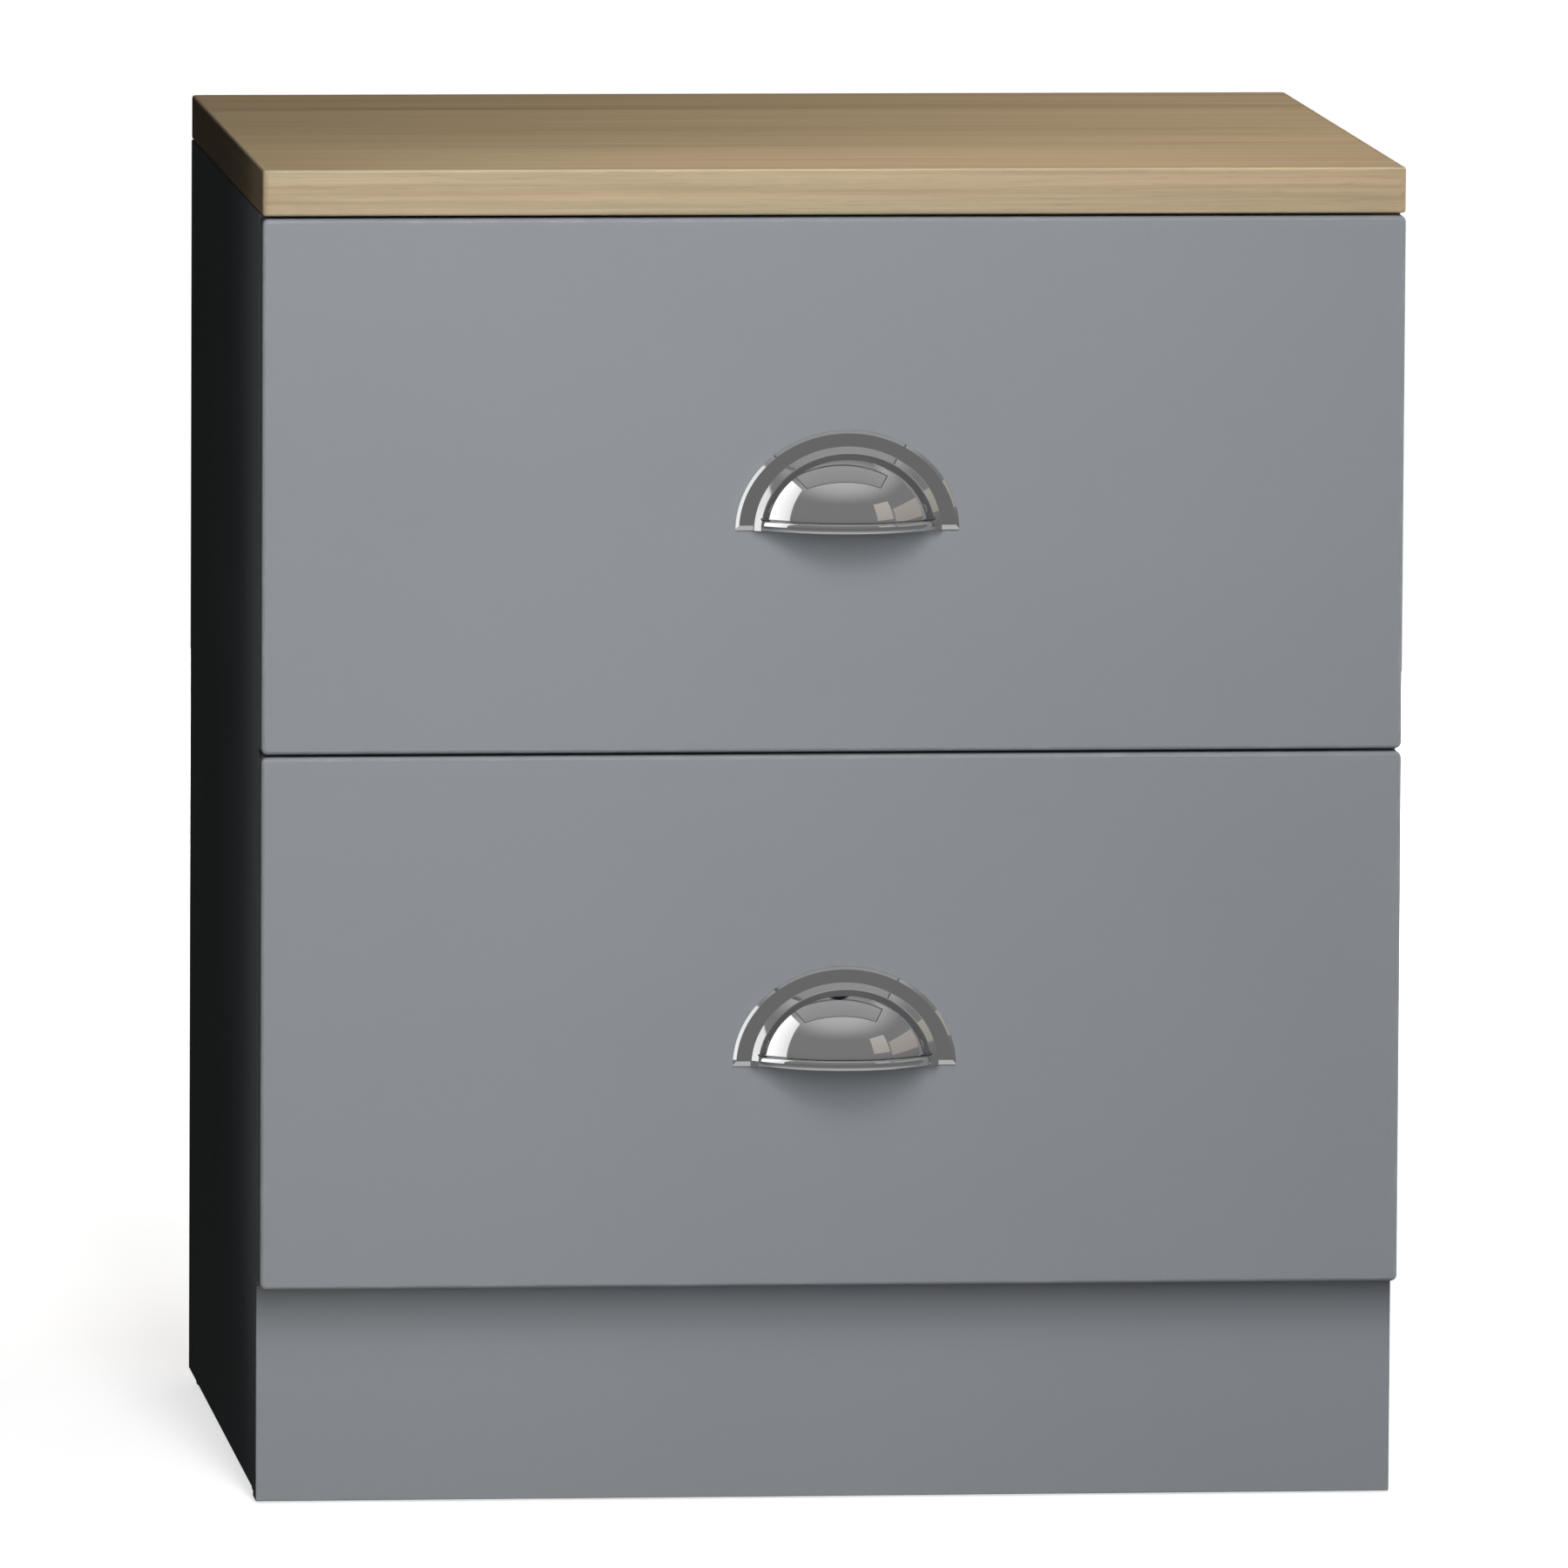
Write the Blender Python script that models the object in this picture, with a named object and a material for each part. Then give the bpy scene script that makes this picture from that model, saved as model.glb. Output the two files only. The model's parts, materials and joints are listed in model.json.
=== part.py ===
"""A two-drawer nightstand: grey boards, an oak-effect worktop, chromed cup handles and a recessed plinth.

Metres, +Z up. The origin is on the floor, at the centre of the object's box. The front looks along -Y.
The object is at rest with both drawers shut. A drawer slides out along -Y on telescopic ball-bearing runners.
"""

import math

import bmesh
import bpy
from mathutils import Matrix, Vector

# ---- Driving dimensions ----
WIDTH = 0.500
DEPTH = 0.420  # from the faces of the drawers to the rear edges
HEIGHT = 0.587
WORKTOP_THICKNESS = 0.020
PLINTH_HEIGHT = 0.097  # from the floor to the lower drawer's front
FRONT_GAP = 0.0012  # between the drawers' fronts, and under the worktop
BOARD = 0.018  # the cabinet's panels and the drawers' fronts
BOX_BOARD = 0.012  # the drawer boxes
HANDLE_PROJECTION = 0.0225
TOUCH = 0.0003  # left between two pieces that rest on each other
OVER = 0.001  # a cutter runs this far past the surface that it opens
SHARP = 0.0004  # the arris of an edged board
FINE = 0.0002  # the arris of a thin board
WORKTOP_ARRIS = 0.0006
SOFT = 0.0018  # the rounded edge of a painted drawer front

# ---- Places that follow from them, in world coordinates ----
FRONT_Y = -(DEPTH - HANDLE_PROJECTION) / 2
REAR_Y = FRONT_Y + DEPTH
HALF_WIDTH = WIDTH / 2
INNER_HALF = HALF_WIDTH - BOARD
WORKTOP_UNDERSIDE = HEIGHT - WORKTOP_THICKNESS
FRONT_HEIGHT = (WORKTOP_UNDERSIDE - PLINTH_HEIGHT - 2 * FRONT_GAP) / 2
BUMPER_GAP = 0.002  # between a drawer's front and the cabinet's front edges
CARCASS_FRONT = FRONT_Y + BOARD + BUMPER_GAP

# ---- Cabinet ----
GLIDE_HEIGHT = 0.004
GLIDE_RADIUS = 0.0078
GLIDE_FRONT = 0.060  # from the drawers' faces to the front glides
GLIDE_REAR = 0.030  # from the rear edges to the rear glides
NAIL_RADIUS = 0.0010
NAIL_LENGTH = 0.011
PLINTH_SETBACK = 0.022
PLINTH_THICKNESS = 0.016
PLINTH_FLOOR_GAP = 0.001
BACK_THICKNESS = 0.006
BACK_INSET = 0.012  # from the rear edges to the back panel
BACK_GROOVE_DEPTH = 0.008
RAIL_WIDTH = 0.080
RAIL_SCREW_X = 0.170
FOOT_RAIL_INSET = 0.044
PLINTH_BLOCK = 0.030
BLOCK_RISE = 0.012  # from the floor
BACK_FACE_Y = REAR_Y - BACK_INSET - TOUCH  # the back panel's rear face
BACK_FRONT_Y = BACK_FACE_Y - BACK_THICKNESS

# ---- Drawer box, measured from a drawer front's face and lower edge ----
BOX_CLEARANCE = 0.013  # each side, for the runner
BOX_HALF = INNER_HALF - BOX_CLEARANCE
BOX_INNER_HALF = BOX_HALF - BOX_BOARD
BOX_BOTTOM = 0.028
BOX_HEIGHT = 0.160
BOX_LENGTH = 0.350
BASE_RISE = 0.010
BASE_THICKNESS = 0.005
GROOVE_DEPTH = 0.006
RUNNER_Z = BOX_BOTTOM + 0.046

# ---- Handle, measured from its lower edge on the drawer's face ----
HANDLE_X = 0.0055
HANDLE_Z = FRONT_HEIGHT / 2 - 0.0195
HANDLE_HALF = 0.0490
HANDLE_SQUASH = 0.89  # its arch is that much lower than a half circle
FLANGE_THICKNESS = 0.0022
CUP_RADIUS = 0.0392
CUP_WALL = 0.0018
BOSS_X = 0.032
BOSS_Z = 0.009
BOSS_RADIUS = 0.0035
BOSS_LENGTH = 0.0075

# ---- Fasteners ----
BOLT_RADIUS = 0.002
BOLT_GRIP = 0.006  # how far a handle bolt goes into its boss
HOLE_PLAY = 0.0004
SCREW_X = 0.150  # the screws that hold a drawer's front to its box
SCREW_BITE = 0.012
HEAD_RADIUS = 0.004
HEAD_HEIGHT = 0.0024

# ---- Bumpers ----
BUMPER_RADIUS = 0.004
BUMPER_DROP = 0.030  # from a front's upper edge

# ---- Telescopic runners: sections measured from the cabinet's inner side ----
RUNNER_STEEL = 0.0012
RUNNER_LENGTH = 0.350
MIDDLE_LENGTH = 0.340
INNER_LENGTH = 0.348
RUNNER_SETBACK = 0.002  # behind the cabinet's front edges
OUTER_SECTION = (TOUCH, 0.0113, 0.0225)  # near side, far side, half height
MIDDLE_SECTION = (0.0040, 0.0105, 0.0175)
INNER_SECTION = (0.0062, BOX_CLEARANCE - TOUCH, 0.0125)


# ---------------------------------------------------------------- scene and materials


def clear_scene():
    for obj in list(bpy.data.objects):
        bpy.data.objects.remove(obj)


def material(name, colour, roughness, metallic=0.0):
    made = bpy.data.materials.new(name)
    made.use_nodes = True
    shader = made.node_tree.nodes["Principled BSDF"]
    shader.inputs["Base Color"].default_value = (*colour, 1.0)
    shader.inputs["Roughness"].default_value = roughness
    shader.inputs["Metallic"].default_value = metallic
    made.diffuse_color = (*colour, 1.0)
    return made


def empty(name, location):
    made = bpy.data.objects.new(name, None)
    made.location = location
    bpy.context.scene.collection.objects.link(made)
    return made


# ---------------------------------------------------------------- shape helpers


def object_from(name, mesh, place, parent, finish=None):
    """An object with this mesh at a place measured from its parent."""
    made = bpy.data.objects.new(name, mesh)
    made.parent = parent
    made.location = place
    if finish is not None:
        made.data.materials.append(finish)
    bpy.context.scene.collection.objects.link(made)
    return made


def mesh_from(name, bm):
    bmesh.ops.recalc_face_normals(bm, faces=bm.faces)
    mesh = bpy.data.meshes.new(name)
    bm.to_mesh(mesh)
    bm.free()
    return mesh


def box_mesh(name, size):
    bm = bmesh.new()
    bmesh.ops.create_cube(bm, size=1.0, matrix=Matrix.Diagonal((*size, 1.0)))
    return mesh_from(name, bm)


def board(name, finish, low, high, parent, arris=SHARP, segments=1):
    """A board between two corners, with its arrises eased."""
    low, high = Vector(low), Vector(high)
    made = object_from(name, box_mesh(name, high - low), (low + high) / 2, parent, finish)
    ease = made.modifiers.new("arris", "BEVEL")
    ease.width = arris
    ease.segments = segments
    return made


def extruded(name, finish, outline, length, place, parent):
    """A solid of constant section: outline is (x, z) points, extruded along +Y from place."""
    bm = bmesh.new()
    face = bm.faces.new([bm.verts.new((x, 0.0, z)) for x, z in outline])
    moved = bmesh.ops.extrude_face_region(bm, geom=[face])["geom"]
    ends = [item for item in moved if isinstance(item, bmesh.types.BMVert)]
    bmesh.ops.translate(bm, verts=ends, vec=(0.0, length, 0.0))
    return object_from(name, mesh_from(name, bm), place, parent, finish)


def turned_mesh(name, profile, steps=12):
    """A solid of revolution about Z: profile is (radius, height) points that start and end on the axis."""
    bm = bmesh.new()
    points = [bm.verts.new((radius, 0.0, height)) for radius, height in profile]
    edges = [bm.edges.new(pair) for pair in zip(points, points[1:])]
    bmesh.ops.spin(
        bm, geom=points + edges, axis=(0, 0, 1), cent=(0, 0, 0), angle=math.tau, steps=steps
    )
    bmesh.ops.remove_doubles(bm, verts=bm.verts, dist=1e-6)
    mesh = mesh_from(name, bm)
    mesh.shade_smooth()
    mesh.set_sharp_from_angle(angle=math.radians(40))
    return mesh


def turned(name, finish, profile, place, parent, turn=(0.0, 0.0, 0.0)):
    made = object_from(name, turned_mesh(name, profile), place, parent, finish)
    made.rotation_euler = turn
    return made


def hidden(obj):
    obj.hide_render = True
    obj.display_type = "WIRE"
    return obj


def combine(obj, tool, operation):
    step = obj.modifiers.new(operation.lower(), "BOOLEAN")
    step.operation = operation
    step.object = hidden(tool)


def cut_box(obj, low, high):
    """Cuts the space between two corners, measured from the board's parent, out of it."""
    low, high = Vector(low), Vector(high)
    tool = object_from(
        f"{obj.name}_cut", box_mesh("cut", high - low), (low + high) / 2, obj.parent
    )
    combine(obj, tool, "DIFFERENCE")


def rod(name, radius, length, place, parent, along):
    """A plain round bar from place, along +Y or +Z, to cut or join with."""
    profile = [(0.0, 0.0), (radius, 0.0), (radius, length), (0.0, length)]
    made = object_from(name, turned_mesh(name, profile), place, parent)
    if along == "Y":
        made.rotation_euler = (-math.pi / 2, 0.0, 0.0)
    return made


def drill(obj, radius, length, place, along):
    combine(obj, rod(f"{obj.name}_drill", radius, length, place, obj.parent, along), "DIFFERENCE")


def pan_head_screw(name, finish, radius, shank, place, parent, turn):
    """A pan-head screw whose shank runs along +Z from its head's seat at place."""
    profile = [
        (0.0, -HEAD_HEIGHT),
        (HEAD_RADIUS * 0.55, -HEAD_HEIGHT),
        (HEAD_RADIUS * 0.90, -HEAD_HEIGHT * 0.70),
        (HEAD_RADIUS, -HEAD_HEIGHT * 0.25),
        (HEAD_RADIUS, 0.0),
        (radius, 0.0),
        (radius, shank - radius),
        (radius * 0.4, shank),
        (0.0, shank),
    ]
    return turned(name, finish, profile, place, parent, turn)


def sides():
    """The left and right names, each with the sign of its X."""
    return (("left", -1), ("right", 1))


def mirrored(sign, near, far):
    """Two X values on that side of the middle, the lower one first."""
    return sorted((sign * near, sign * far))


# ---------------------------------------------------------------- cabinet


def build_worktop(parent, oak):
    made = board(
        "worktop",
        oak,
        (-HALF_WIDTH, FRONT_Y, WORKTOP_UNDERSIDE),
        (HALF_WIDTH, REAR_Y, HEIGHT),
        parent,
        arris=WORKTOP_ARRIS,
        segments=2,
    )
    for x, y in rail_screw_places():
        place = (x, y, WORKTOP_UNDERSIDE - OVER)
        drill(made, BOLT_RADIUS + HOLE_PLAY, SCREW_BITE + 2 * OVER, place, "Z")


def build_side(parent, name, sign, grey):
    """A side panel: it stands on glides, and its lower front corner is notched for the plinth."""
    low_x, high_x = mirrored(sign, INNER_HALF, HALF_WIDTH)
    made = board(
        f"{name}_side_panel",
        grey,
        (low_x, CARCASS_FRONT, GLIDE_HEIGHT),
        (high_x, REAR_Y, WORKTOP_UNDERSIDE - TOUCH),
        parent,
    )
    notch_y = FRONT_Y + PLINTH_SETBACK + PLINTH_THICKNESS + TOUCH
    cut_box(
        made,
        (low_x - OVER, CARCASS_FRONT - OVER, GLIDE_HEIGHT - OVER),
        (high_x + OVER, notch_y, PLINTH_HEIGHT),
    )
    groove_low, groove_high = mirrored(sign, INNER_HALF - OVER, INNER_HALF + BACK_GROOVE_DEPTH)
    cut_box(
        made,
        (groove_low, BACK_FRONT_Y - TOUCH, GLIDE_HEIGHT - OVER),
        (groove_high, BACK_FACE_Y + TOUCH, HEIGHT),
    )
    for _, x, y in glide_places():
        if x * sign > 0:
            drill(made, NAIL_RADIUS + HOLE_PLAY, NAIL_LENGTH + 2 * OVER, (x, y, GLIDE_HEIGHT - OVER), "Z")


def build_bottom(parent, grey):
    board(
        "bottom_panel",
        grey,
        (-INNER_HALF + TOUCH, CARCASS_FRONT, PLINTH_HEIGHT),
        (INNER_HALF - TOUCH, BACK_FRONT_Y - TOUCH, PLINTH_HEIGHT + BOARD),
        parent,
    )


def build_back(parent, hardboard):
    reach = INNER_HALF + BACK_GROOVE_DEPTH - 2 * TOUCH
    board(
        "back_panel",
        hardboard,
        (-reach, BACK_FRONT_Y, PLINTH_HEIGHT),
        (reach, BACK_FACE_Y, WORKTOP_UNDERSIDE - TOUCH),
        parent,
        arris=FINE,
    )


def rail_spans():
    """(name, low Y, high Y) of the two rails that the worktop is screwed to."""
    rear_end = BACK_FRONT_Y - TOUCH
    return (
        ("front_top_rail", CARCASS_FRONT, CARCASS_FRONT + RAIL_WIDTH),
        ("rear_top_rail", rear_end - RAIL_WIDTH, rear_end),
    )


def rail_screw_places():
    return [
        (x, (low + high) / 2)
        for _, low, high in rail_spans()
        for x in (-RAIL_SCREW_X, RAIL_SCREW_X)
    ]


def build_rails(parent, grey, steel):
    top = WORKTOP_UNDERSIDE - TOUCH
    for name, low_y, high_y in rail_spans():
        made = board(
            name,
            grey,
            (-INNER_HALF + TOUCH, low_y, top - BOARD),
            (INNER_HALF - TOUCH, high_y, top),
            parent,
        )
        for x in (-RAIL_SCREW_X, RAIL_SCREW_X):
            place = (x, (low_y + high_y) / 2, top - BOARD - OVER)
            drill(made, BOLT_RADIUS + HOLE_PLAY, BOARD + 2 * OVER, place, "Z")
    ends = ("front", "rear")
    names = [f"worktop_screw_{end}_{side}" for end in ends for side, _ in sides()]
    for name, (x, y) in zip(names, rail_screw_places()):
        place = (x, y, top - BOARD - TOUCH)
        pan_head_screw(name, steel, BOLT_RADIUS, BOARD + SCREW_BITE, place, parent, (0.0, 0.0, 0.0))


def build_plinth(parent, grey, raw):
    front = FRONT_Y + PLINTH_SETBACK
    board(
        "plinth_board",
        grey,
        (-HALF_WIDTH, front, PLINTH_FLOOR_GAP),
        (HALF_WIDTH, front + PLINTH_THICKNESS, PLINTH_HEIGHT - TOUCH),
        parent,
    )
    block_y = front + PLINTH_THICKNESS + 2 * TOUCH
    for name, sign in sides():
        near = INNER_HALF - TOUCH
        low_x, high_x = mirrored(sign, near - PLINTH_BLOCK, near)
        board(
            f"{name}_plinth_block",
            raw,
            (low_x, block_y, BLOCK_RISE),
            (high_x, block_y + PLINTH_BLOCK, PLINTH_HEIGHT - TOUCH),
            parent,
        )
    board(
        "rear_foot_rail",
        grey,
        (-INNER_HALF + TOUCH, REAR_Y - FOOT_RAIL_INSET - PLINTH_THICKNESS, GLIDE_HEIGHT),
        (INNER_HALF - TOUCH, REAR_Y - FOOT_RAIL_INSET, PLINTH_HEIGHT - TOUCH),
        parent,
    )


def glide_places():
    """(name, x, y) of the glides under the side panels."""
    x = HALF_WIDTH - BOARD / 2
    return [
        (f"{end}_{name}_glide", sign * x, y)
        for end, y in (("front", FRONT_Y + GLIDE_FRONT), ("rear", REAR_Y - GLIDE_REAR))
        for name, sign in sides()
    ]


def build_glides(parent, nylon):
    """Nail-on glides: a nylon disc with its nail."""
    top = GLIDE_HEIGHT - TOUCH
    profile = [
        (0.0, 0.0),
        (GLIDE_RADIUS * 0.8, 0.0),
        (GLIDE_RADIUS, top * 0.3),
        (GLIDE_RADIUS, top),
        (NAIL_RADIUS, top),
        (NAIL_RADIUS, top + NAIL_LENGTH * 0.8),
        (0.0, top + NAIL_LENGTH),
    ]
    for name, x, y in glide_places():
        turned(name, nylon, profile, (x, y, 0.0), parent)


# ---------------------------------------------------------------- runners


def channel_outline(section, opens, sign):
    """A C channel's (x, z) outline. section is (near, far, half height) from the cabinet's inner side."""
    near, far, half = section
    web, lips = (near, far) if opens == "inwards" else (far, near)
    step = RUNNER_STEEL if lips > web else -RUNNER_STEEL
    points = [
        (web, -half),
        (lips, -half),
        (lips, -half + RUNNER_STEEL),
        (web + step, -half + RUNNER_STEEL),
        (web + step, half - RUNNER_STEEL),
        (lips, half - RUNNER_STEEL),
        (lips, half),
        (web, half),
    ]
    return [(sign * (INNER_HALF - u), z) for u, z in points]


def build_runner(prefix, level, cabinet, middle_body, drawer, steel):
    """The three members of the runners beside one drawer. level is its front's lower edge."""
    start = CARCASS_FRONT + RUNNER_SETBACK
    for name, sign in sides():
        members = (
            ("outer", OUTER_SECTION, "inwards", RUNNER_LENGTH, cabinet),
            ("middle", MIDDLE_SECTION, "inwards", MIDDLE_LENGTH, middle_body),
            ("inner", INNER_SECTION, "outwards", INNER_LENGTH, drawer),
        )
        for member, section, opens, length, parent in members:
            place = Vector((0.0, start, level + RUNNER_Z)) - parent.location
            extruded(
                f"{prefix}_{name}_runner_{member}",
                steel,
                channel_outline(section, opens, sign),
                length,
                place,
                parent,
            )


# ---------------------------------------------------------------- drawers
# Their empties are on the front's face, at its lower edge, so Y and Z here are measured from there.


def inner_front_span():
    """The near and far Y of the box's own front, behind the drawer's front."""
    near = BOARD + TOUCH
    return near, near + BOX_BOARD


def build_drawer_front(prefix, drawer, grey):
    made = board(
        f"{prefix}_drawer_front",
        grey,
        (-HALF_WIDTH, 0.0, 0.0),
        (HALF_WIDTH, BOARD, FRONT_HEIGHT),
        drawer,
        arris=SOFT,
        segments=2,
    )
    for x in bolt_places():
        place = (x, -OVER, HANDLE_Z + BOSS_Z)
        drill(made, BOLT_RADIUS + HOLE_PLAY, BOARD + 2 * OVER, place, "Y")
    for x in (-SCREW_X, SCREW_X):
        place = (x, BOARD - SCREW_BITE - OVER, BOX_BOTTOM + BOX_HEIGHT / 2)
        drill(made, BOLT_RADIUS + HOLE_PLAY, SCREW_BITE + 2 * OVER, place, "Y")


def build_drawer_box(prefix, drawer, melamine, base_finish):
    near, far = inner_front_span()
    rear = near + BOX_LENGTH
    top = BOX_BOTTOM + BOX_HEIGHT
    base_low = BOX_BOTTOM + BASE_RISE
    base_high = base_low + BASE_THICKNESS
    inner = board(
        f"{prefix}_drawer_inner_front",
        melamine,
        (-BOX_INNER_HALF + TOUCH, near, BOX_BOTTOM),
        (BOX_INNER_HALF - TOUCH, far, top),
        drawer,
    )
    cut_box(
        inner,
        (-BOX_HALF, far - GROOVE_DEPTH, base_low - TOUCH),
        (BOX_HALF, far + OVER, base_high + TOUCH),
    )
    screw_z = BOX_BOTTOM + BOX_HEIGHT / 2
    holes = [(x, HANDLE_Z + BOSS_Z) for x in bolt_places()] + [(-SCREW_X, screw_z), (SCREW_X, screw_z)]
    for x, z in holes:
        drill(inner, BOLT_RADIUS + HOLE_PLAY, BOX_BOARD + 2 * OVER, (x, near - OVER, z), "Y")
    for name, sign in sides():
        low_x, high_x = mirrored(sign, BOX_INNER_HALF, BOX_HALF)
        side = board(
            f"{prefix}_drawer_{name}_side",
            melamine,
            (low_x, near, BOX_BOTTOM),
            (high_x, rear, top),
            drawer,
        )
        groove_low, groove_high = mirrored(sign, BOX_INNER_HALF - OVER, BOX_INNER_HALF + GROOVE_DEPTH)
        cut_box(
            side,
            (groove_low, far - GROOVE_DEPTH, base_low - TOUCH),
            (groove_high, rear + OVER, base_high + TOUCH),
        )
    board(
        f"{prefix}_drawer_back",
        melamine,
        (-BOX_INNER_HALF + TOUCH, rear - BOX_BOARD, base_high + TOUCH),
        (BOX_INNER_HALF - TOUCH, rear, top),
        drawer,
    )
    reach = BOX_INNER_HALF + GROOVE_DEPTH - 2 * TOUCH
    board(
        f"{prefix}_drawer_base",
        base_finish,
        (-reach, far - GROOVE_DEPTH + 2 * TOUCH, base_low),
        (reach, rear, base_high),
        drawer,
        arris=FINE,
    )


def bolt_places():
    return (HANDLE_X - BOSS_X, HANDLE_X + BOSS_X)


def quarter_ellipse(radius, foot, peak, steps):
    """(radius, outward) points from the rim at foot to the tip on the axis at peak."""
    turns = [math.pi / 2 * i / steps for i in range(steps + 1)]
    return [(radius * math.cos(t), foot + (peak - foot) * math.sin(t)) for t in turns]


def cup_profile():
    """The closed section of flange and cup, as (radius, outward) points."""
    outside = quarter_ellipse(CUP_RADIUS, FLANGE_THICKNESS, HANDLE_PROJECTION - TOUCH, 8)
    inside = quarter_ellipse(CUP_RADIUS - CUP_WALL, 0.0, HANDLE_PROJECTION - TOUCH - CUP_WALL, 8)
    outside[-1] = (0.0, outside[-1][1])
    inside[-1] = (0.0, inside[-1][1])
    flange = [(HANDLE_HALF, 0.0), (HANDLE_HALF, FLANGE_THICKNESS)]
    return flange + outside + inside[::-1]


def build_handle(prefix, drawer, chrome):
    """A cup handle: half a turn of its section, flattened a little, with two threaded bosses."""
    bm = bmesh.new()
    section = bm.faces.new([bm.verts.new((r, -out, 0.0)) for r, out in cup_profile()])
    bmesh.ops.spin(
        bm,
        geom=[section, *section.edges, *section.verts],
        axis=(0, -1, 0),
        cent=(0, 0, 0),
        angle=math.pi,
        steps=20,
    )
    bmesh.ops.remove_doubles(bm, verts=bm.verts, dist=1e-6)
    bmesh.ops.scale(bm, verts=bm.verts, vec=(1.0, 1.0, HANDLE_SQUASH))
    mesh = mesh_from(f"{prefix}_handle", bm)
    mesh.shade_smooth()
    mesh.set_sharp_from_angle(angle=math.radians(35))
    made = object_from(
        f"{prefix}_handle", mesh, (HANDLE_X, -TOUCH, HANDLE_Z), drawer, chrome
    )
    for x in bolt_places():
        place = (x, -TOUCH - BOSS_LENGTH, HANDLE_Z + BOSS_Z)
        combine(made, rod("boss", BOSS_RADIUS, BOSS_LENGTH, place, drawer, "Y"), "UNION")
    for x in bolt_places():
        depth = BOLT_GRIP + TOUCH
        place = (x, -TOUCH - depth, HANDLE_Z + BOSS_Z)
        drill(made, BOLT_RADIUS + HOLE_PLAY, depth + OVER, place, "Y")


def build_drawer_fasteners(prefix, drawer, steel):
    """Screws from inside the box, their shanks along -Y."""
    _, seat = inner_front_span()
    seat += TOUCH
    outwards = (math.pi / 2, 0.0, 0.0)
    for (name, _), x in zip(sides(), bolt_places()):
        place = (x, seat, HANDLE_Z + BOSS_Z)
        length = seat + BOLT_GRIP
        pan_head_screw(f"{prefix}_{name}_handle_bolt", steel, BOLT_RADIUS, length, place, drawer, outwards)
    for name, sign in sides():
        place = (sign * SCREW_X, seat, BOX_BOTTOM + BOX_HEIGHT / 2)
        length = BOX_BOARD + SCREW_BITE
        pan_head_screw(f"{prefix}_{name}_front_screw", steel, BOLT_RADIUS, length, place, drawer, outwards)


def build_bumpers(prefix, drawer, rubber):
    """Stick-on pads that meet the side panels' front edges."""
    thick = BUMPER_GAP - 2 * TOUCH
    profile = [
        (0.0, 0.0),
        (BUMPER_RADIUS, 0.0),
        (BUMPER_RADIUS, thick * 0.5),
        (BUMPER_RADIUS * 0.6, thick),
        (0.0, thick),
    ]
    for name, sign in sides():
        place = (sign * (HALF_WIDTH - BOARD / 2), BOARD + TOUCH, FRONT_HEIGHT - BUMPER_DROP)
        turned(f"{prefix}_{name}_bumper", rubber, profile, place, drawer, (-math.pi / 2, 0.0, 0.0))


def build_drawer(prefix, level, cabinet, finishes):
    drawer = empty(f"{prefix}_drawer", (0.0, FRONT_Y, level))
    middle_body = empty(f"{prefix}_runner_middle", (0.0, FRONT_Y, level))
    build_drawer_front(prefix, drawer, finishes["grey"])
    build_drawer_box(prefix, drawer, finishes["melamine"], finishes["hardboard"])
    build_handle(prefix, drawer, finishes["chrome"])
    build_drawer_fasteners(prefix, drawer, finishes["steel"])
    build_bumpers(prefix, drawer, finishes["rubber"])
    build_runner(prefix, level, cabinet, middle_body, drawer, finishes["steel"])


def main():
    clear_scene()
    finishes = {
        "oak": material("oak_laminate", (0.52, 0.40, 0.25), 0.45),
        "grey": material("grey_matt", (0.27, 0.285, 0.30), 0.5),
        "melamine": material("pale_melamine", (0.72, 0.72, 0.70), 0.5),
        "hardboard": material("hardboard", (0.62, 0.60, 0.56), 0.6),
        "raw": material("raw_timber", (0.58, 0.43, 0.27), 0.8),
        "steel": material("zinc_steel", (0.60, 0.61, 0.62), 0.35, 1.0),
        "chrome": material("chrome", (0.80, 0.80, 0.80), 0.08, 1.0),
        "nylon": material("nylon", (0.10, 0.10, 0.10), 0.5),
        "rubber": material("clear_rubber", (0.70, 0.70, 0.70), 0.6),
    }
    cabinet = empty("cabinet", (0.0, 0.0, 0.0))
    build_worktop(cabinet, finishes["oak"])
    for name, sign in sides():
        build_side(cabinet, name, sign, finishes["grey"])
    build_bottom(cabinet, finishes["grey"])
    build_back(cabinet, finishes["hardboard"])
    build_rails(cabinet, finishes["grey"], finishes["steel"])
    build_plinth(cabinet, finishes["grey"], finishes["raw"])
    build_glides(cabinet, finishes["nylon"])
    build_drawer("lower", PLINTH_HEIGHT, cabinet, finishes)
    build_drawer("upper", PLINTH_HEIGHT + FRONT_HEIGHT + FRONT_GAP, cabinet, finishes)


main()
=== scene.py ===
"""The looks of the two-drawer nightstand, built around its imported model.

Metres, +Z up. The front looks along -Y.
"""

import json
import math

import bmesh
import bpy
from mathutils import Matrix, Vector

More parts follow.
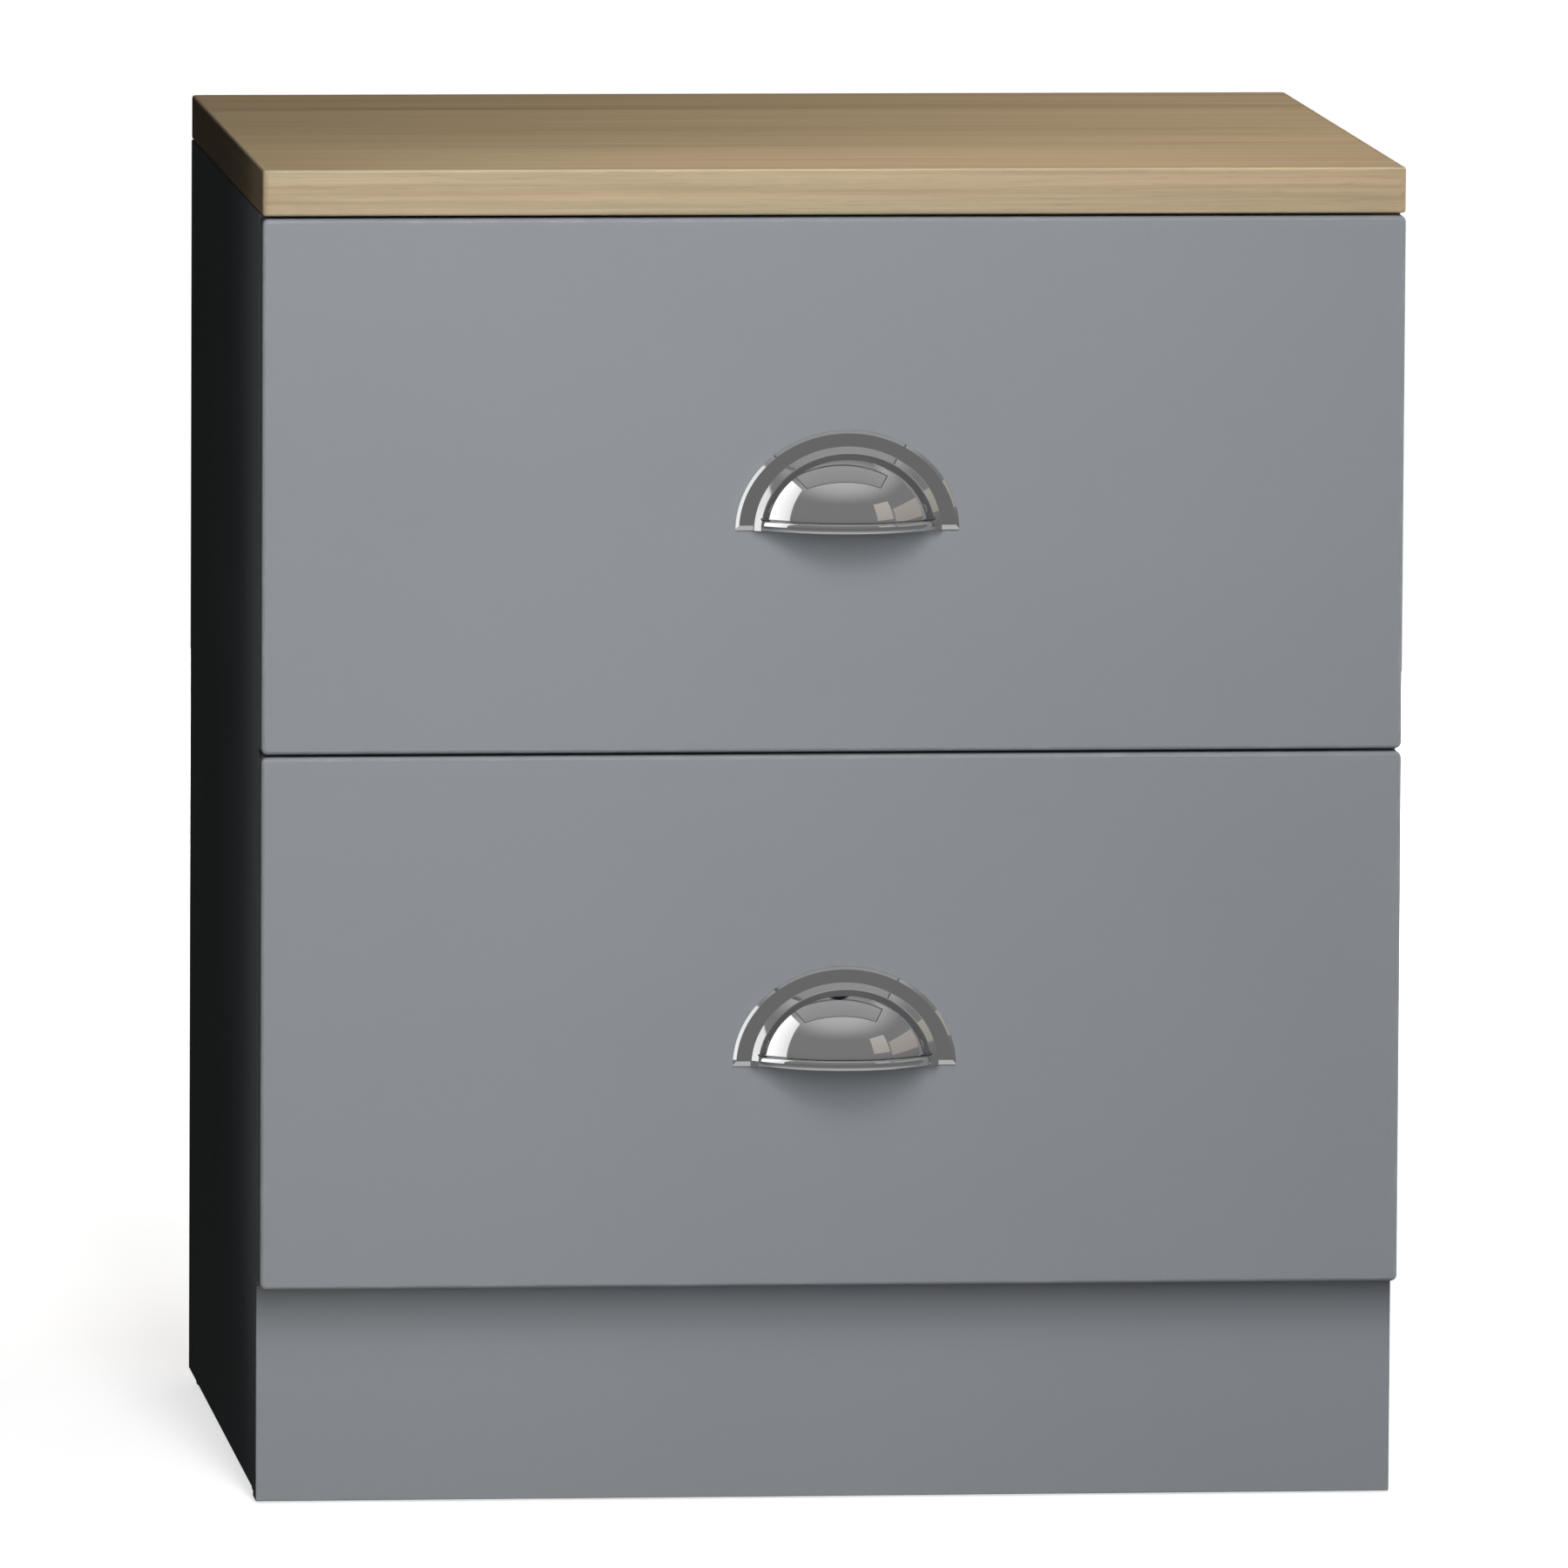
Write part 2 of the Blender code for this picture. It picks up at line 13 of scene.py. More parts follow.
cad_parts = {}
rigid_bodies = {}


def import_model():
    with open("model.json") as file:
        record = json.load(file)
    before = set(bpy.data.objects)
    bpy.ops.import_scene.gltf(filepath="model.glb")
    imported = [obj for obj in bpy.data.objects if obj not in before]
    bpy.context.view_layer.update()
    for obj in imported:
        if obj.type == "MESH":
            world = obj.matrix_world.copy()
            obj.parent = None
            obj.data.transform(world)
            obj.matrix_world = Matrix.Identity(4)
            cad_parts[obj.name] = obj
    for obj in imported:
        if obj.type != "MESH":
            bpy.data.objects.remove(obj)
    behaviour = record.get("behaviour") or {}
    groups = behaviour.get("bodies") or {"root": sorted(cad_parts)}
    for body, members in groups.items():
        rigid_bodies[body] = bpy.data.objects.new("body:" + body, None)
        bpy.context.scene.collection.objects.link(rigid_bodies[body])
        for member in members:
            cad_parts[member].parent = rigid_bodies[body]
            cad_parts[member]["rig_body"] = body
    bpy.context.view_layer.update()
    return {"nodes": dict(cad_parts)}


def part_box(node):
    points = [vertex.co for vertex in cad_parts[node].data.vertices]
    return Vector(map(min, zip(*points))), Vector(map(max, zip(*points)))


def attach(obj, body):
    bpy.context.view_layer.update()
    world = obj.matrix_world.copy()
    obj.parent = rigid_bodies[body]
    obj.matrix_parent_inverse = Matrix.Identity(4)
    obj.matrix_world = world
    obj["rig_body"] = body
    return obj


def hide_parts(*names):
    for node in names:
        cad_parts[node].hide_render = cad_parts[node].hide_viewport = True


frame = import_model()

LEVELS = ("upper", "lower")
SIDES = (("left", -1), ("right", 1))
UP, DOWN, FRONT, REAR, LEFT, RIGHT = (
    Vector(way) for way in ((0, 0, 1), (0, 0, -1), (0, -1, 0), (0, 1, 0), (-1, 0, 0), (1, 0, 0))
)

# ---- Colours, linear ----
OAK_LIGHT = (0.500, 0.385, 0.240)
OAK_MID = (0.445, 0.335, 0.203)
OAK_DARK = (0.350, 0.250, 0.145)
GREY = (0.268, 0.283, 0.303)
GREY_PALE = (0.283, 0.298, 0.318)
MELAMINE = (0.660, 0.655, 0.630)
PALE_BOARD = (0.600, 0.595, 0.575)

# ---- Sizes that the frame doesn't hold ----
HAIR = 0.00005  # the joint between a board and its edging
EDGING = 0.0020  # the worktop's edging
EDGING_ROUND = 0.0012
WORKTOP_CORNER = 0.0030
FRONT_ROUND = 0.0020  # the arris of a drawer front's face
FRONT_CORNER = 0.0027
BOX_TOP_ROUND = 0.0035
ARRIS = 0.0005
THIN_ARRIS = 0.0002
TIMBER_ARRIS = 0.0012
SHEET = 0.0012  # the runners' steel
GAP = 0.0003
PAST = 0.01  # how far a cutter reaches past the board that it cuts

# ---------------------------------------------------------------- finishes


class Finish:
    """A Principled material, with short calls for the procedural nodes that feed it."""

    def __init__(self, name, colour, roughness, metallic=0.0):
        self.material = bpy.data.materials.new(name)
        self.material.use_nodes = True
        self.tree = self.material.node_tree
        self.shader = self.tree.nodes["Principled BSDF"]
        self.shader.inputs["Base Color"].default_value = (*colour, 1.0)
        self.shader.inputs["Roughness"].default_value = roughness
        self.shader.inputs["Metallic"].default_value = metallic

    def add(self, kind, inputs, **settings):
        made = self.tree.nodes.new(kind)
        for key, value in settings.items():
            setattr(made, key, value)
        for key, value in inputs.items():
            if isinstance(value, bpy.types.NodeSocket):
                self.tree.links.new(value, made.inputs[key])
            else:
                made.inputs[key].default_value = value
        return made

    def feed(self, socket, value):
        self.tree.links.new(value, self.shader.inputs[socket])

    def place(self, scale):
        """The piece's own coordinates, times a scale per metre along each axis."""
        coordinates = self.add("ShaderNodeTexCoord", {})
        vector = {"Vector": coordinates.outputs["Object"], "Scale": scale}
        return self.add("ShaderNodeMapping", vector).outputs["Vector"]

    def noise(self, scale, detail=3.0, roughness=0.55, distortion=0.0):
        inputs = {
            "Vector": self.place(scale),
            "Scale": 1.0,
            "Detail": detail,
            "Roughness": roughness,
            "Distortion": distortion,
        }
        return self.add("ShaderNodeTexNoise", inputs).outputs["Fac"]

    def flakes(self, scale):
        inputs = {"Vector": self.place(scale), "Scale": 1.0}
        return self.add("ShaderNodeTexVoronoi", inputs).outputs["Color"]

    def ramp(self, value, stops):
        """stops are (position, colour)."""
        made = self.add("ShaderNodeValToRGB", {"Fac": value})
        points = made.color_ramp.elements
        while len(points) < len(stops):
            points.new(1.0)
        for point, (position, colour) in zip(points, stops):
            point.position = position
            point.color = (*colour, 1.0)
        return made.outputs["Color"]

    def range(self, value, low, high, start=0.3, end=0.7):
        """Maps start..end of a value to low..high."""
        inputs = {"Value": value, "From Min": start, "From Max": end, "To Min": low, "To Max": high}
        return self.add("ShaderNodeMapRange", inputs).outputs["Result"]

    def mix(self, first, second, factor, mode="MIX"):
        made = self.add("ShaderNodeMix", {}, data_type="RGBA", blend_type=mode)
        for index, value in ((0, factor), (6, first), (7, second)):
            if isinstance(value, bpy.types.NodeSocket):
                self.tree.links.new(value, made.inputs[index])
            else:
                made.inputs[index].default_value = value
        return made.outputs[2]

    def grey(self, value):
        """A value as a colour to multiply with."""
        inputs = {"Red": value, "Green": value, "Blue": value}
        return self.add("ShaderNodeCombineColor", inputs).outputs["Color"]

    def times(self, first, second):
        return self.mix(first, second, 1.0, "MULTIPLY")

    def varied(self, colour, value, low, high, start=0.3, end=0.7):
        """The colour times low..high, as a value goes from start to end."""
        return self.times(colour, self.grey(self.range(value, low, high, start, end)))

    def bump(self, height, distance, strength=1.0):
        """Adds relief, on top of any relief already there."""
        inputs = {"Height": height, "Distance": distance, "Strength": strength}
        if self.shader.inputs["Normal"].is_linked:
            inputs["Normal"] = self.shader.inputs["Normal"].links[0].from_socket
        self.feed("Normal", self.add("ShaderNodeBump", inputs).outputs["Normal"])


def along(axis, lengthwise, across):
    """Scales for a grain that runs along one axis."""
    return [lengthwise if index == axis else across for index in range(3)]


def oak(name, axis, tint=(1.0, 1.0, 1.0)):
    """Oak-effect laminate: pale brown bands, fine straight streaks and short pores along the grain."""
    made = Finish(name, OAK_MID, 0.42)
    bands = made.noise(along(axis, 0.9, 26.0), detail=4, distortion=0.5)
    tone = made.ramp(bands, [(0.30, OAK_DARK), (0.48, OAK_MID), (0.68, OAK_LIGHT)])
    tone = made.mix(tone, (*OAK_MID, 1.0), 0.40)
    warmth = made.noise(along(axis, 1.3, 75.0), detail=3)
    warm_or_olive = made.ramp(warmth, [(0.35, (1.05, 0.98, 0.94)), (0.65, (0.97, 1.00, 0.99))])
    tone = made.times(tone, warm_or_olive)
    veins = made.noise(along(axis, 3.0, 190.0), detail=4, roughness=0.6, distortion=0.3)
    tone = made.varied(tone, veins, 0.88, 1.10, 0.32, 0.68)
    streaks = made.noise(along(axis, 7.0, 520.0), detail=5, roughness=0.65)
    tone = made.varied(tone, streaks, 0.88, 1.10)
    tone = made.times(tone, (*tint, 1.0))
    pores = made.noise(along(axis, 60.0, 2600.0), detail=2)
    tone = made.varied(tone, pores, 0.80, 1.0, 0.28, 0.42)
    made.feed("Base Color", tone)
    made.feed("Roughness", made.range(streaks, 0.50, 0.38))
    made.bump(pores, 0.00004, 0.6)
    made.bump(streaks, 0.00003, 0.4)
    return made.material


def grey_foil(name, base, roughness):
    """Matt grey foil: a very fine leathery relief, with faint clouds in its colour and its gloss."""
    made = Finish(name, base, roughness)
    clouds = made.noise((5.0, 5.0, 5.0), detail=3)
    grains = made.noise((1500.0, 1500.0, 1500.0), detail=2)
    tone = made.varied((*base, 1.0), clouds, 0.985, 1.015)
    tone = made.varied(tone, grains, 0.975, 1.02)
    made.feed("Base Color", tone)
    made.feed("Roughness", made.range(clouds, roughness - 0.03, roughness + 0.04))
    made.bump(grains, 0.00003, 0.35)
    made.bump(made.noise((140.0, 140.0, 140.0), detail=2), 0.00008, 0.12)
    return made.material


def worn_foil():
    """The same foil on an arris, where hands have polished it in places."""
    made = Finish("grey_foil_arris", GREY_PALE, 0.40)
    patches = made.noise((45.0, 45.0, 45.0), detail=5, roughness=0.7)
    made.feed("Base Color", made.ramp(patches, [(0.50, GREY), (0.72, (0.325, 0.340, 0.360))]))
    made.feed("Roughness", made.range(patches, 0.46, 0.30))
    made.bump(made.noise((900.0, 900.0, 900.0)), 0.00003, 0.3)
    return made.material


def linen(name, base):
    """Melamine with a pressed linen weave."""
    made = Finish(name, base, 0.45)
    crosses = [made.noise(along(axis, 130.0, 1700.0), detail=2) for axis in range(3)]
    weave = made.mix(made.mix(crosses[0], crosses[1], 0.5), crosses[2], 0.34)
    shading = made.ramp(weave, [(0.40, (0.90,) * 3), (0.58, (1.04,) * 3)])
    threads = made.times((*base, 1.0), shading)
    scuffs = made.noise((16.0, 16.0, 16.0), detail=5, roughness=0.7)
    made.feed("Base Color", made.varied(threads, scuffs, 0.965, 1.01))
    made.feed("Roughness", made.range(scuffs, 0.40, 0.52))
    made.bump(weave, 0.00006, 0.6)
    return made.material


def chipboard():
    """The raw core of a board: pressed flakes and dust."""
    made = Finish("chipboard_core", (0.42, 0.29, 0.16), 0.85)
    flakes = made.flakes((420.0, 420.0, 900.0))
    shade = made.add("ShaderNodeSeparateColor", {"Color": flakes}).outputs["Red"]
    browns = [
        (0.0, (0.22, 0.13, 0.06)),
        (0.4, (0.42, 0.28, 0.15)),
        (0.75, (0.56, 0.41, 0.24)),
        (1.0, (0.68, 0.53, 0.34)),
    ]
    dust = made.noise((1800.0, 1800.0, 1800.0), detail=4)
    made.feed("Base Color", made.varied(made.ramp(shade, browns), dust, 0.7, 1.15))
    made.bump(shade, 0.00025, 0.6)
    made.bump(dust, 0.00020, 0.6)
    return made.material


def hardboard():
    """The raw brown rear of a thin board: matted fibres."""
    made = Finish("hardboard_rear", (0.33, 0.21, 0.11), 0.75)
    clouds = made.noise((9.0, 9.0, 9.0), detail=4)
    fibres = made.noise((380.0, 380.0, 380.0), detail=6, roughness=0.75, distortion=1.5)
    browns = [(0.30, (0.22, 0.13, 0.065)), (0.52, (0.34, 0.215, 0.115)), (0.72, (0.47, 0.32, 0.19))]
    made.feed("Base Color", made.varied(made.ramp(fibres, browns), clouds, 0.90, 1.08))
    made.feed("Roughness", made.range(fibres, 0.65, 0.85))
    made.bump(fibres, 0.00015, 0.5)
    return made.material


def softwood():
    """Planed pine, its grain upright."""
    made = Finish("softwood", (0.60, 0.43, 0.25), 0.65)
    rings = made.noise((150.0, 150.0, 2.5), detail=3, distortion=0.8)
    browns = [(0.35, (0.42, 0.26, 0.12)), (0.52, (0.60, 0.43, 0.25)), (0.7, (0.70, 0.54, 0.34))]
    made.feed("Base Color", made.ramp(rings, browns))
    made.bump(made.noise((900.0, 900.0, 12.0), detail=3), 0.00012, 0.5)
    return made.material


def metal(name, colour, roughness, brushing, depth):
    """Bare metal: brushing gives the scales of its fine scratches."""
    made = Finish(name, colour, roughness, 1.0)
    clouds = made.noise((60.0, 60.0, 60.0), detail=4)
    scratches = made.noise(brushing, detail=3)
    made.feed("Base Color", made.varied((*colour, 1.0), clouds, 0.92, 1.04))
    made.feed("Roughness", made.range(scratches, roughness * 0.75, roughness * 1.25))
    made.bump(scratches, depth, 0.3)
    return made.material


def chrome():
    """Polished chrome with faint finger marks."""
    made = Finish("polished_chrome", (0.80, 0.80, 0.81), 0.04, 1.0)
    smears = made.noise((90.0, 90.0, 90.0), detail=5, roughness=0.7)
    made.feed("Roughness", made.range(smears, 0.025, 0.085, 0.45, 0.75))
    made.bump(made.noise((120.0, 120.0, 120.0), detail=1), 0.00002, 0.15)
    return made.material


def plastic(name, colour, roughness):
    """Moulded plastic with a fine spark-eroded grain."""
    made = Finish(name, colour, roughness)
    grains = made.noise((1300.0, 1300.0, 1300.0), detail=2)
    clouds = made.noise((80.0, 80.0, 80.0), detail=3)
    made.feed("Base Color", made.varied((*colour, 1.0), clouds, 0.92, 1.06))
    made.feed("Roughness", made.range(grains, roughness * 0.85, roughness * 1.15))
    made.bump(grains, 0.00004, 0.4)
    return made.material


oak_across = oak("oak_laminate_x", 0)
oak_edging = oak("oak_edging_x", 0, (1.02, 1.07, 1.15))
oak_endways = oak("oak_edging_y", 1, (1.04, 1.06, 1.10))
foil = grey_foil("grey_foil", GREY, 0.38)
foil_arris = worn_foil()
linen_pale = linen("linen_melamine", MELAMINE)
board_pale = linen("pale_board_face", PALE_BOARD)
core = chipboard()
raw_rear = hardboard()
pine = softwood()
zinc = metal("zinc_steel", (0.60, 0.61, 0.63), 0.34, (2500.0, 25.0, 2500.0), 0.00002)
zinc_screw = metal("zinc_screw", (0.62, 0.62, 0.61), 0.36, (900.0, 900.0, 900.0), 0.00002)
ball_steel = metal("ball_steel", (0.75, 0.75, 0.76), 0.12, (400.0, 400.0, 400.0), 0.00001)
bright_chrome = chrome()
nylon = plastic("black_nylon", (0.022, 0.022, 0.024), 0.42)
cage_plastic = plastic("cage_plastic", (0.42, 0.43, 0.44), 0.45)
pad = plastic("clear_pad", (0.62, 0.63, 0.64), 0.30)

# A board's finishes, in the order of the numbers that paint() gives to faces
grey_faces = [foil, core, foil_arris]
box_faces = [linen_pale, core]
thin_faces = [board_pale, raw_rear]

# ---------------------------------------------------------------- mesh tools


def box_shape(low, high):
    bm = bmesh.new()
    low, high = Vector(low), Vector(high)
    fit = Matrix.Translation((low + high) / 2) @ Matrix.Diagonal((*(high - low), 1.0))
    bmesh.ops.create_cube(bm, size=1.0, matrix=fit)
    return bm


def scratch_object(bm):
    mesh = bpy.data.meshes.new("scratch")
    bm.to_mesh(mesh)
    bm.free()
    made = bpy.data.objects.new("scratch", mesh)
    bpy.context.scene.collection.objects.link(made)
    return made


def cut_by(bm, tools):
    """The shape less each tool. The shapes passed in are used up."""
    base = scratch_object(bm)
    used = [base]
    for tool in tools:
        step = base.modifiers.new("step", "BOOLEAN")
        step.operation = "DIFFERENCE"
        step.object = scratch_object(tool)
        used.append(step.object)
    bpy.context.view_layer.update()
    mesh = bpy.data.meshes.new_from_object(base.evaluated_get(bpy.context.evaluated_depsgraph_get()))
    result = bmesh.new()
    result.from_mesh(mesh)
    bpy.data.meshes.remove(mesh)
    for obj in used:
        spent = obj.data
        bpy.data.objects.remove(obj)
        bpy.data.meshes.remove(spent)
    return result


def corners_of(bm):
    least = math.radians(35)
    return [edge for edge in bm.edges if edge.is_manifold and edge.calc_face_angle(0.0) > least]


def ease(bm, radius, segments=3, edges=None):
    """Rounds these edges, or every sharp one."""
    chosen = corners_of(bm) if edges is None else edges
    bmesh.ops.bevel(
        bm, geom=chosen, offset=radius, segments=segments, profile=0.5, affect="EDGES", clamp_overlap=True
    )


def paint(bm, ways, others=0):
    """Gives the faces that look each way a finish by its number, and rounded faces the number in others."""
    for face in bm.faces:
        flat = max(abs(axis) for axis in face.normal) > 0.9995
        face.material_index = 0 if flat else others
        for way, index in ways:
            if face.normal.dot(way) > 0.9995:
                face.material_index = index


def rounded_rectangle(half_x, half_y, radius, steps=5):
    """(x, y) points, anticlockwise."""
    points = []
    for quarter, (sign_x, sign_y) in enumerate(((1, 1), (-1, 1), (-1, -1), (1, -1))):
        for step in range(steps + 1):
            turn = math.pi / 2 * (quarter + step / steps)
            x = sign_x * (half_x - radius) + radius * math.cos(turn)
            y = sign_y * (half_y - radius) + radius * math.sin(turn)
            points.append((x, y))
    return points


def loft(loops, closed=False):
    """A skin over loops of equally many points. It is capped, or joined end to end if closed."""
    bm = bmesh.new()
    rings = [[bm.verts.new(point) for point in loop] for loop in loops]
    pairs = list(zip(rings, rings[1:])) + ([(rings[-1], rings[0])] if closed else [])
    for near, far in pairs:
        for index in range(len(near)):
            after = (index + 1) % len(near)
            bm.faces.new((near[index], near[after], far[after], far[index]))
    if not closed:
        bm.faces.new(rings[0])
        bm.faces.new(rings[-1])
    bmesh.ops.recalc_face_normals(bm, faces=bm.faces)
    return bm


def turned(profile, steps=32):
    """A solid of revolution: profile is (radius, height) points that start and end on the axis."""
    bm = bmesh.new()
    points = [bm.verts.new((radius, 0.0, height)) for radius, height in profile]
    edges = [bm.edges.new(pair) for pair in zip(points, points[1:])]
    bmesh.ops.spin(bm, geom=points + edges, axis=UP, cent=(0, 0, 0), angle=math.tau, steps=steps)
    bmesh.ops.remove_doubles(bm, verts=bm.verts, dist=1e-7)
    bmesh.ops.recalc_face_normals(bm, faces=bm.faces)
    return bm


def arc(centre, radius, start, end, steps=5):
    """Points round a centre, from one angle to another, in degrees."""
    turns = [math.radians(start + (end - start) * step / steps) for step in range(steps + 1)]
    return [(centre[0] + radius * math.cos(turn), centre[1] + radius * math.sin(turn)) for turn in turns]


def merged(shapes):
    """One shape that holds them all. They are used up."""
    whole = bmesh.new()
    for shape in shapes:
        mesh = bpy.data.meshes.new("scratch")
        shape.to_mesh(mesh)
        shape.free()
        whole.from_mesh(mesh)
        bpy.data.meshes.remove(mesh)
    return whole


def moved(bm, place, way=UP):
    """The shape with its +Z turned to that way, then moved to a place."""
    turn = Vector(way).to_track_quat("Z", "Y").to_matrix().to_4x4()
    bmesh.ops.transform(bm, matrix=Matrix.Translation(place) @ turn, verts=bm.verts)
    return bm


def piece(name, bm, finishes, body, replaced=(), crease=40):
    """Makes the shape a piece that rides on a body."""
    mesh = bpy.data.meshes.new(name)
    bm.to_mesh(mesh)
    bm.free()
    mesh.shade_smooth()
    mesh.set_sharp_from_angle(angle=math.radians(crease))
    for finish in finishes:
        mesh.materials.append(finish)
    made = bpy.data.objects.new(name, mesh)
    bpy.context.scene.collection.objects.link(made)
    normals = made.modifiers.new("normals", "WEIGHTED_NORMAL")
    normals.keep_sharp = True
    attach(made, body)
    if replaced:
        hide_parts(*replaced)
    return made


# ---------------------------------------------------------------- boards


def board(node, body, finishes, ways=(), cuts=(), arris=ARRIS, top_round=0.0, others=0):
    """Stands for a CAD board: its box, less the cuts, with rounded arrises."""
    low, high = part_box(node)
    bm = box_shape(low, high)
    if cuts:
        bm = cut_by(bm, [box_shape(*cut) for cut in cuts])
    if top_round:
        long_edges = [
            edge
            for edge in bm.edges
            if min(vert.co.z for vert in edge.verts) > high.z - GAP and edge.calc_length() > 0.1
        ]
        ease(bm, top_round, 6, long_edges)
    ease(bm, arris)
    paint(bm, ways, others)
    return piece(f"{node}_board", bm, finishes, body, [node])


def grown(node, amount=GAP):
    low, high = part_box(node)
    return low - Vector((amount,) * 3), high + Vector((amount,) * 3)


def build_worktop():
    """A laminated slab with a thick edging: the joint between them is a hairline."""
    low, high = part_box("worktop")
    middle = (low + high) / 2
    half = (high - low) / 2
    inset = Vector((EDGING + HAIR, EDGING + HAIR, HAIR))
    slab = box_shape(low + inset, high - inset)
    ease(slab, HAIR * 2, 1)
    piece("worktop_slab", slab, [oak_across], "cabinet", ["worktop"])

    def ring(inwards, z, radius):
        outline = rounded_rectangle(half.x - inwards, half.y - inwards, radius)
        return [(middle.x + x, middle.y + y, z) for x, y in outline]

    round_low = arc((EDGING_ROUND, EDGING_ROUND), EDGING_ROUND, 270, 180)
    round_high = arc((EDGING_ROUND, 2 * half.z - EDGING_ROUND), EDGING_ROUND, 180, 90)
    section = [(EDGING, 0.0), *round_low, *round_high, (EDGING, 2 * half.z)]
    rings = [ring(inwards, low.z + up, max(WORKTOP_CORNER - inwards, HAIR * 4)) for inwards, up in section]
    edging = loft(rings, closed=True)
    for face in edging.faces:
        ends = abs(face.calc_center_median().x - middle.x) > half.x - EDGING
        face.material_index = int(ends and abs(face.normal.y) < 0.5)
    piece("worktop_edging", edging, [oak_edging, oak_endways], "cabinet")


def build_carcass():
    """The cabinet's boards, bare chipboard where an edge isn't seen in use."""
    plinth_low, plinth_high = grown("plinth_board")
    for name, _ in SIDES:
        node = f"{name}_side_panel"
        low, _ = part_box(node)
        notch = ((plinth_low.x, low.y - PAST, low.z - PAST), (plinth_high.x, plinth_high.y, plinth_high.z))
        back_low, back_high = grown("back_panel")
        groove = ((back_low.x, back_low.y, low.z - PAST), (back_high.x, back_high.y, back_high.z + PAST))
        raw_edges = [(REAR, 1), (DOWN, 1)]
        board(node, "cabinet", grey_faces, raw_edges, [notch, groove], others=2)
    raw_edges = [(REAR, 1), (LEFT, 1), (RIGHT, 1)]
    for node in ("bottom_panel", "front_top_rail", "rear_top_rail"):
        board(node, "cabinet", grey_faces, raw_edges, others=2)
    for node in ("plinth_board", "rear_foot_rail"):
        board(node, "cabinet", grey_faces, [(DOWN, 1)], others=2)
    board("back_panel", "cabinet", thin_faces, [(REAR, 1)], arris=THIN_ARRIS, others=1)
    for name, _ in SIDES:
        board(f"{name}_plinth_block", "cabinet", [pine], arris=TIMBER_ARRIS)


# ---------------------------------------------------------------- fasteners


def screw_shape(head_radius, head_height, shank_radius, shank):
    """A pan-head screw with a cross recess. Its head sits at the origin, and its shank runs along +Z."""
    crown = arc((head_radius * 0.55, -head_height * 0.45), head_height * 0.55, 270, 190)
    rim = [(head_radius, -head_height * 0.3), (head_radius, 0.0)]
    profile = [(0.0, -head_height), *crown, *rim, (shank_radius, 0.0)]
    pitch = shank_radius * 0.55
    for turn in range(int(shank / pitch) - 2):
        start = (turn + 0.5) * pitch
        profile += [(shank_radius * 0.78, start), (shank_radius, start + pitch / 2)]
    profile += [(shank_radius * 0.5, shank - shank_radius * 0.6), (0.0, shank)]
    body = turned(profile, steps=24)
    arm, width, depth = head_radius * 0.62, head_radius * 0.12, head_height * 0.75
    top = -head_height - GAP
    bars = [
        box_shape((-arm, -width, top), (arm, width, top + depth)),
        box_shape((-width, -arm, top), (width, arm, top + depth)),
    ]
    return cut_by(body, bars)


def build_screws():
    """Each screw of the frame, threaded and recessed."""
    kinds = {"worktop_screw": UP, "handle_bolt": FRONT, "front_screw": FRONT}
    for node, cad in frame["nodes"].items():
        for kind, way in kinds.items():
            if kind not in node:
                continue
            low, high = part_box(node)
            middle = (low + high) / 2
            length = abs((high - low).dot(way))
            head_radius = min(high.x - low.x, (high - low).z if way == FRONT else high.y - low.y) / 2
            head_height = head_radius * 0.6
            tail = middle - way * (length / 2 - head_height)
            shape = screw_shape(head_radius, head_height, head_radius / 2, length - head_height)
            shape = moved(shape, tail, way)
            piece(f"{node}_threaded", shape, [zinc_screw], cad["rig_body"], [node])


def flat_heads(name, places, way, body, radius=0.0036, proud=0.0003):
    """Flush screw heads with a cross recess, as one piece."""
    sunk, recess = 0.002, 0.0011
    shapes = []
    for place in places:
        cone = [(0.0, -sunk), (radius * 0.4, -sunk), (radius, 0.0)]
        profile = [*cone, (radius, proud * 0.6), (radius * 0.9, proud), (0.0, proud)]
        head = turned(profile, steps=24)
        arm, width = radius * 0.6, radius * 0.13
        bars = [
            box_shape((-arm, -width, proud - recess), (arm, width, proud + GAP)),
            box_shape((-width, -arm, proud - recess), (width, arm, proud + GAP)),
        ]
        shapes.append(moved(cut_by(head, bars), place, way))
    return piece(name, merged(shapes), [zinc_screw], body)


CAM_RADIUS = 0.0073
CAM_REACH = 0.034  # from the ends of its board


def build_cams():
    """Cam fittings under the top rails and the bottom panel: zinc discs with a cross recess."""
    for node in ("front_top_rail", "rear_top_rail", "bottom_panel"):
        low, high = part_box(node)
        spread = min(0.025, (high.y - low.y) / 2 - 0.02) if node != "bottom_panel" else 0.130
        middle = (low.y + high.y) / 2
        ends = (low.x + CAM_REACH, high.x - CAM_REACH)
        places = [(x, middle + y, low.z) for x in ends for y in (-spread, spread)]
        flat_heads(f"{node}_cams", places, DOWN, "cabinet", radius=CAM_RADIUS)


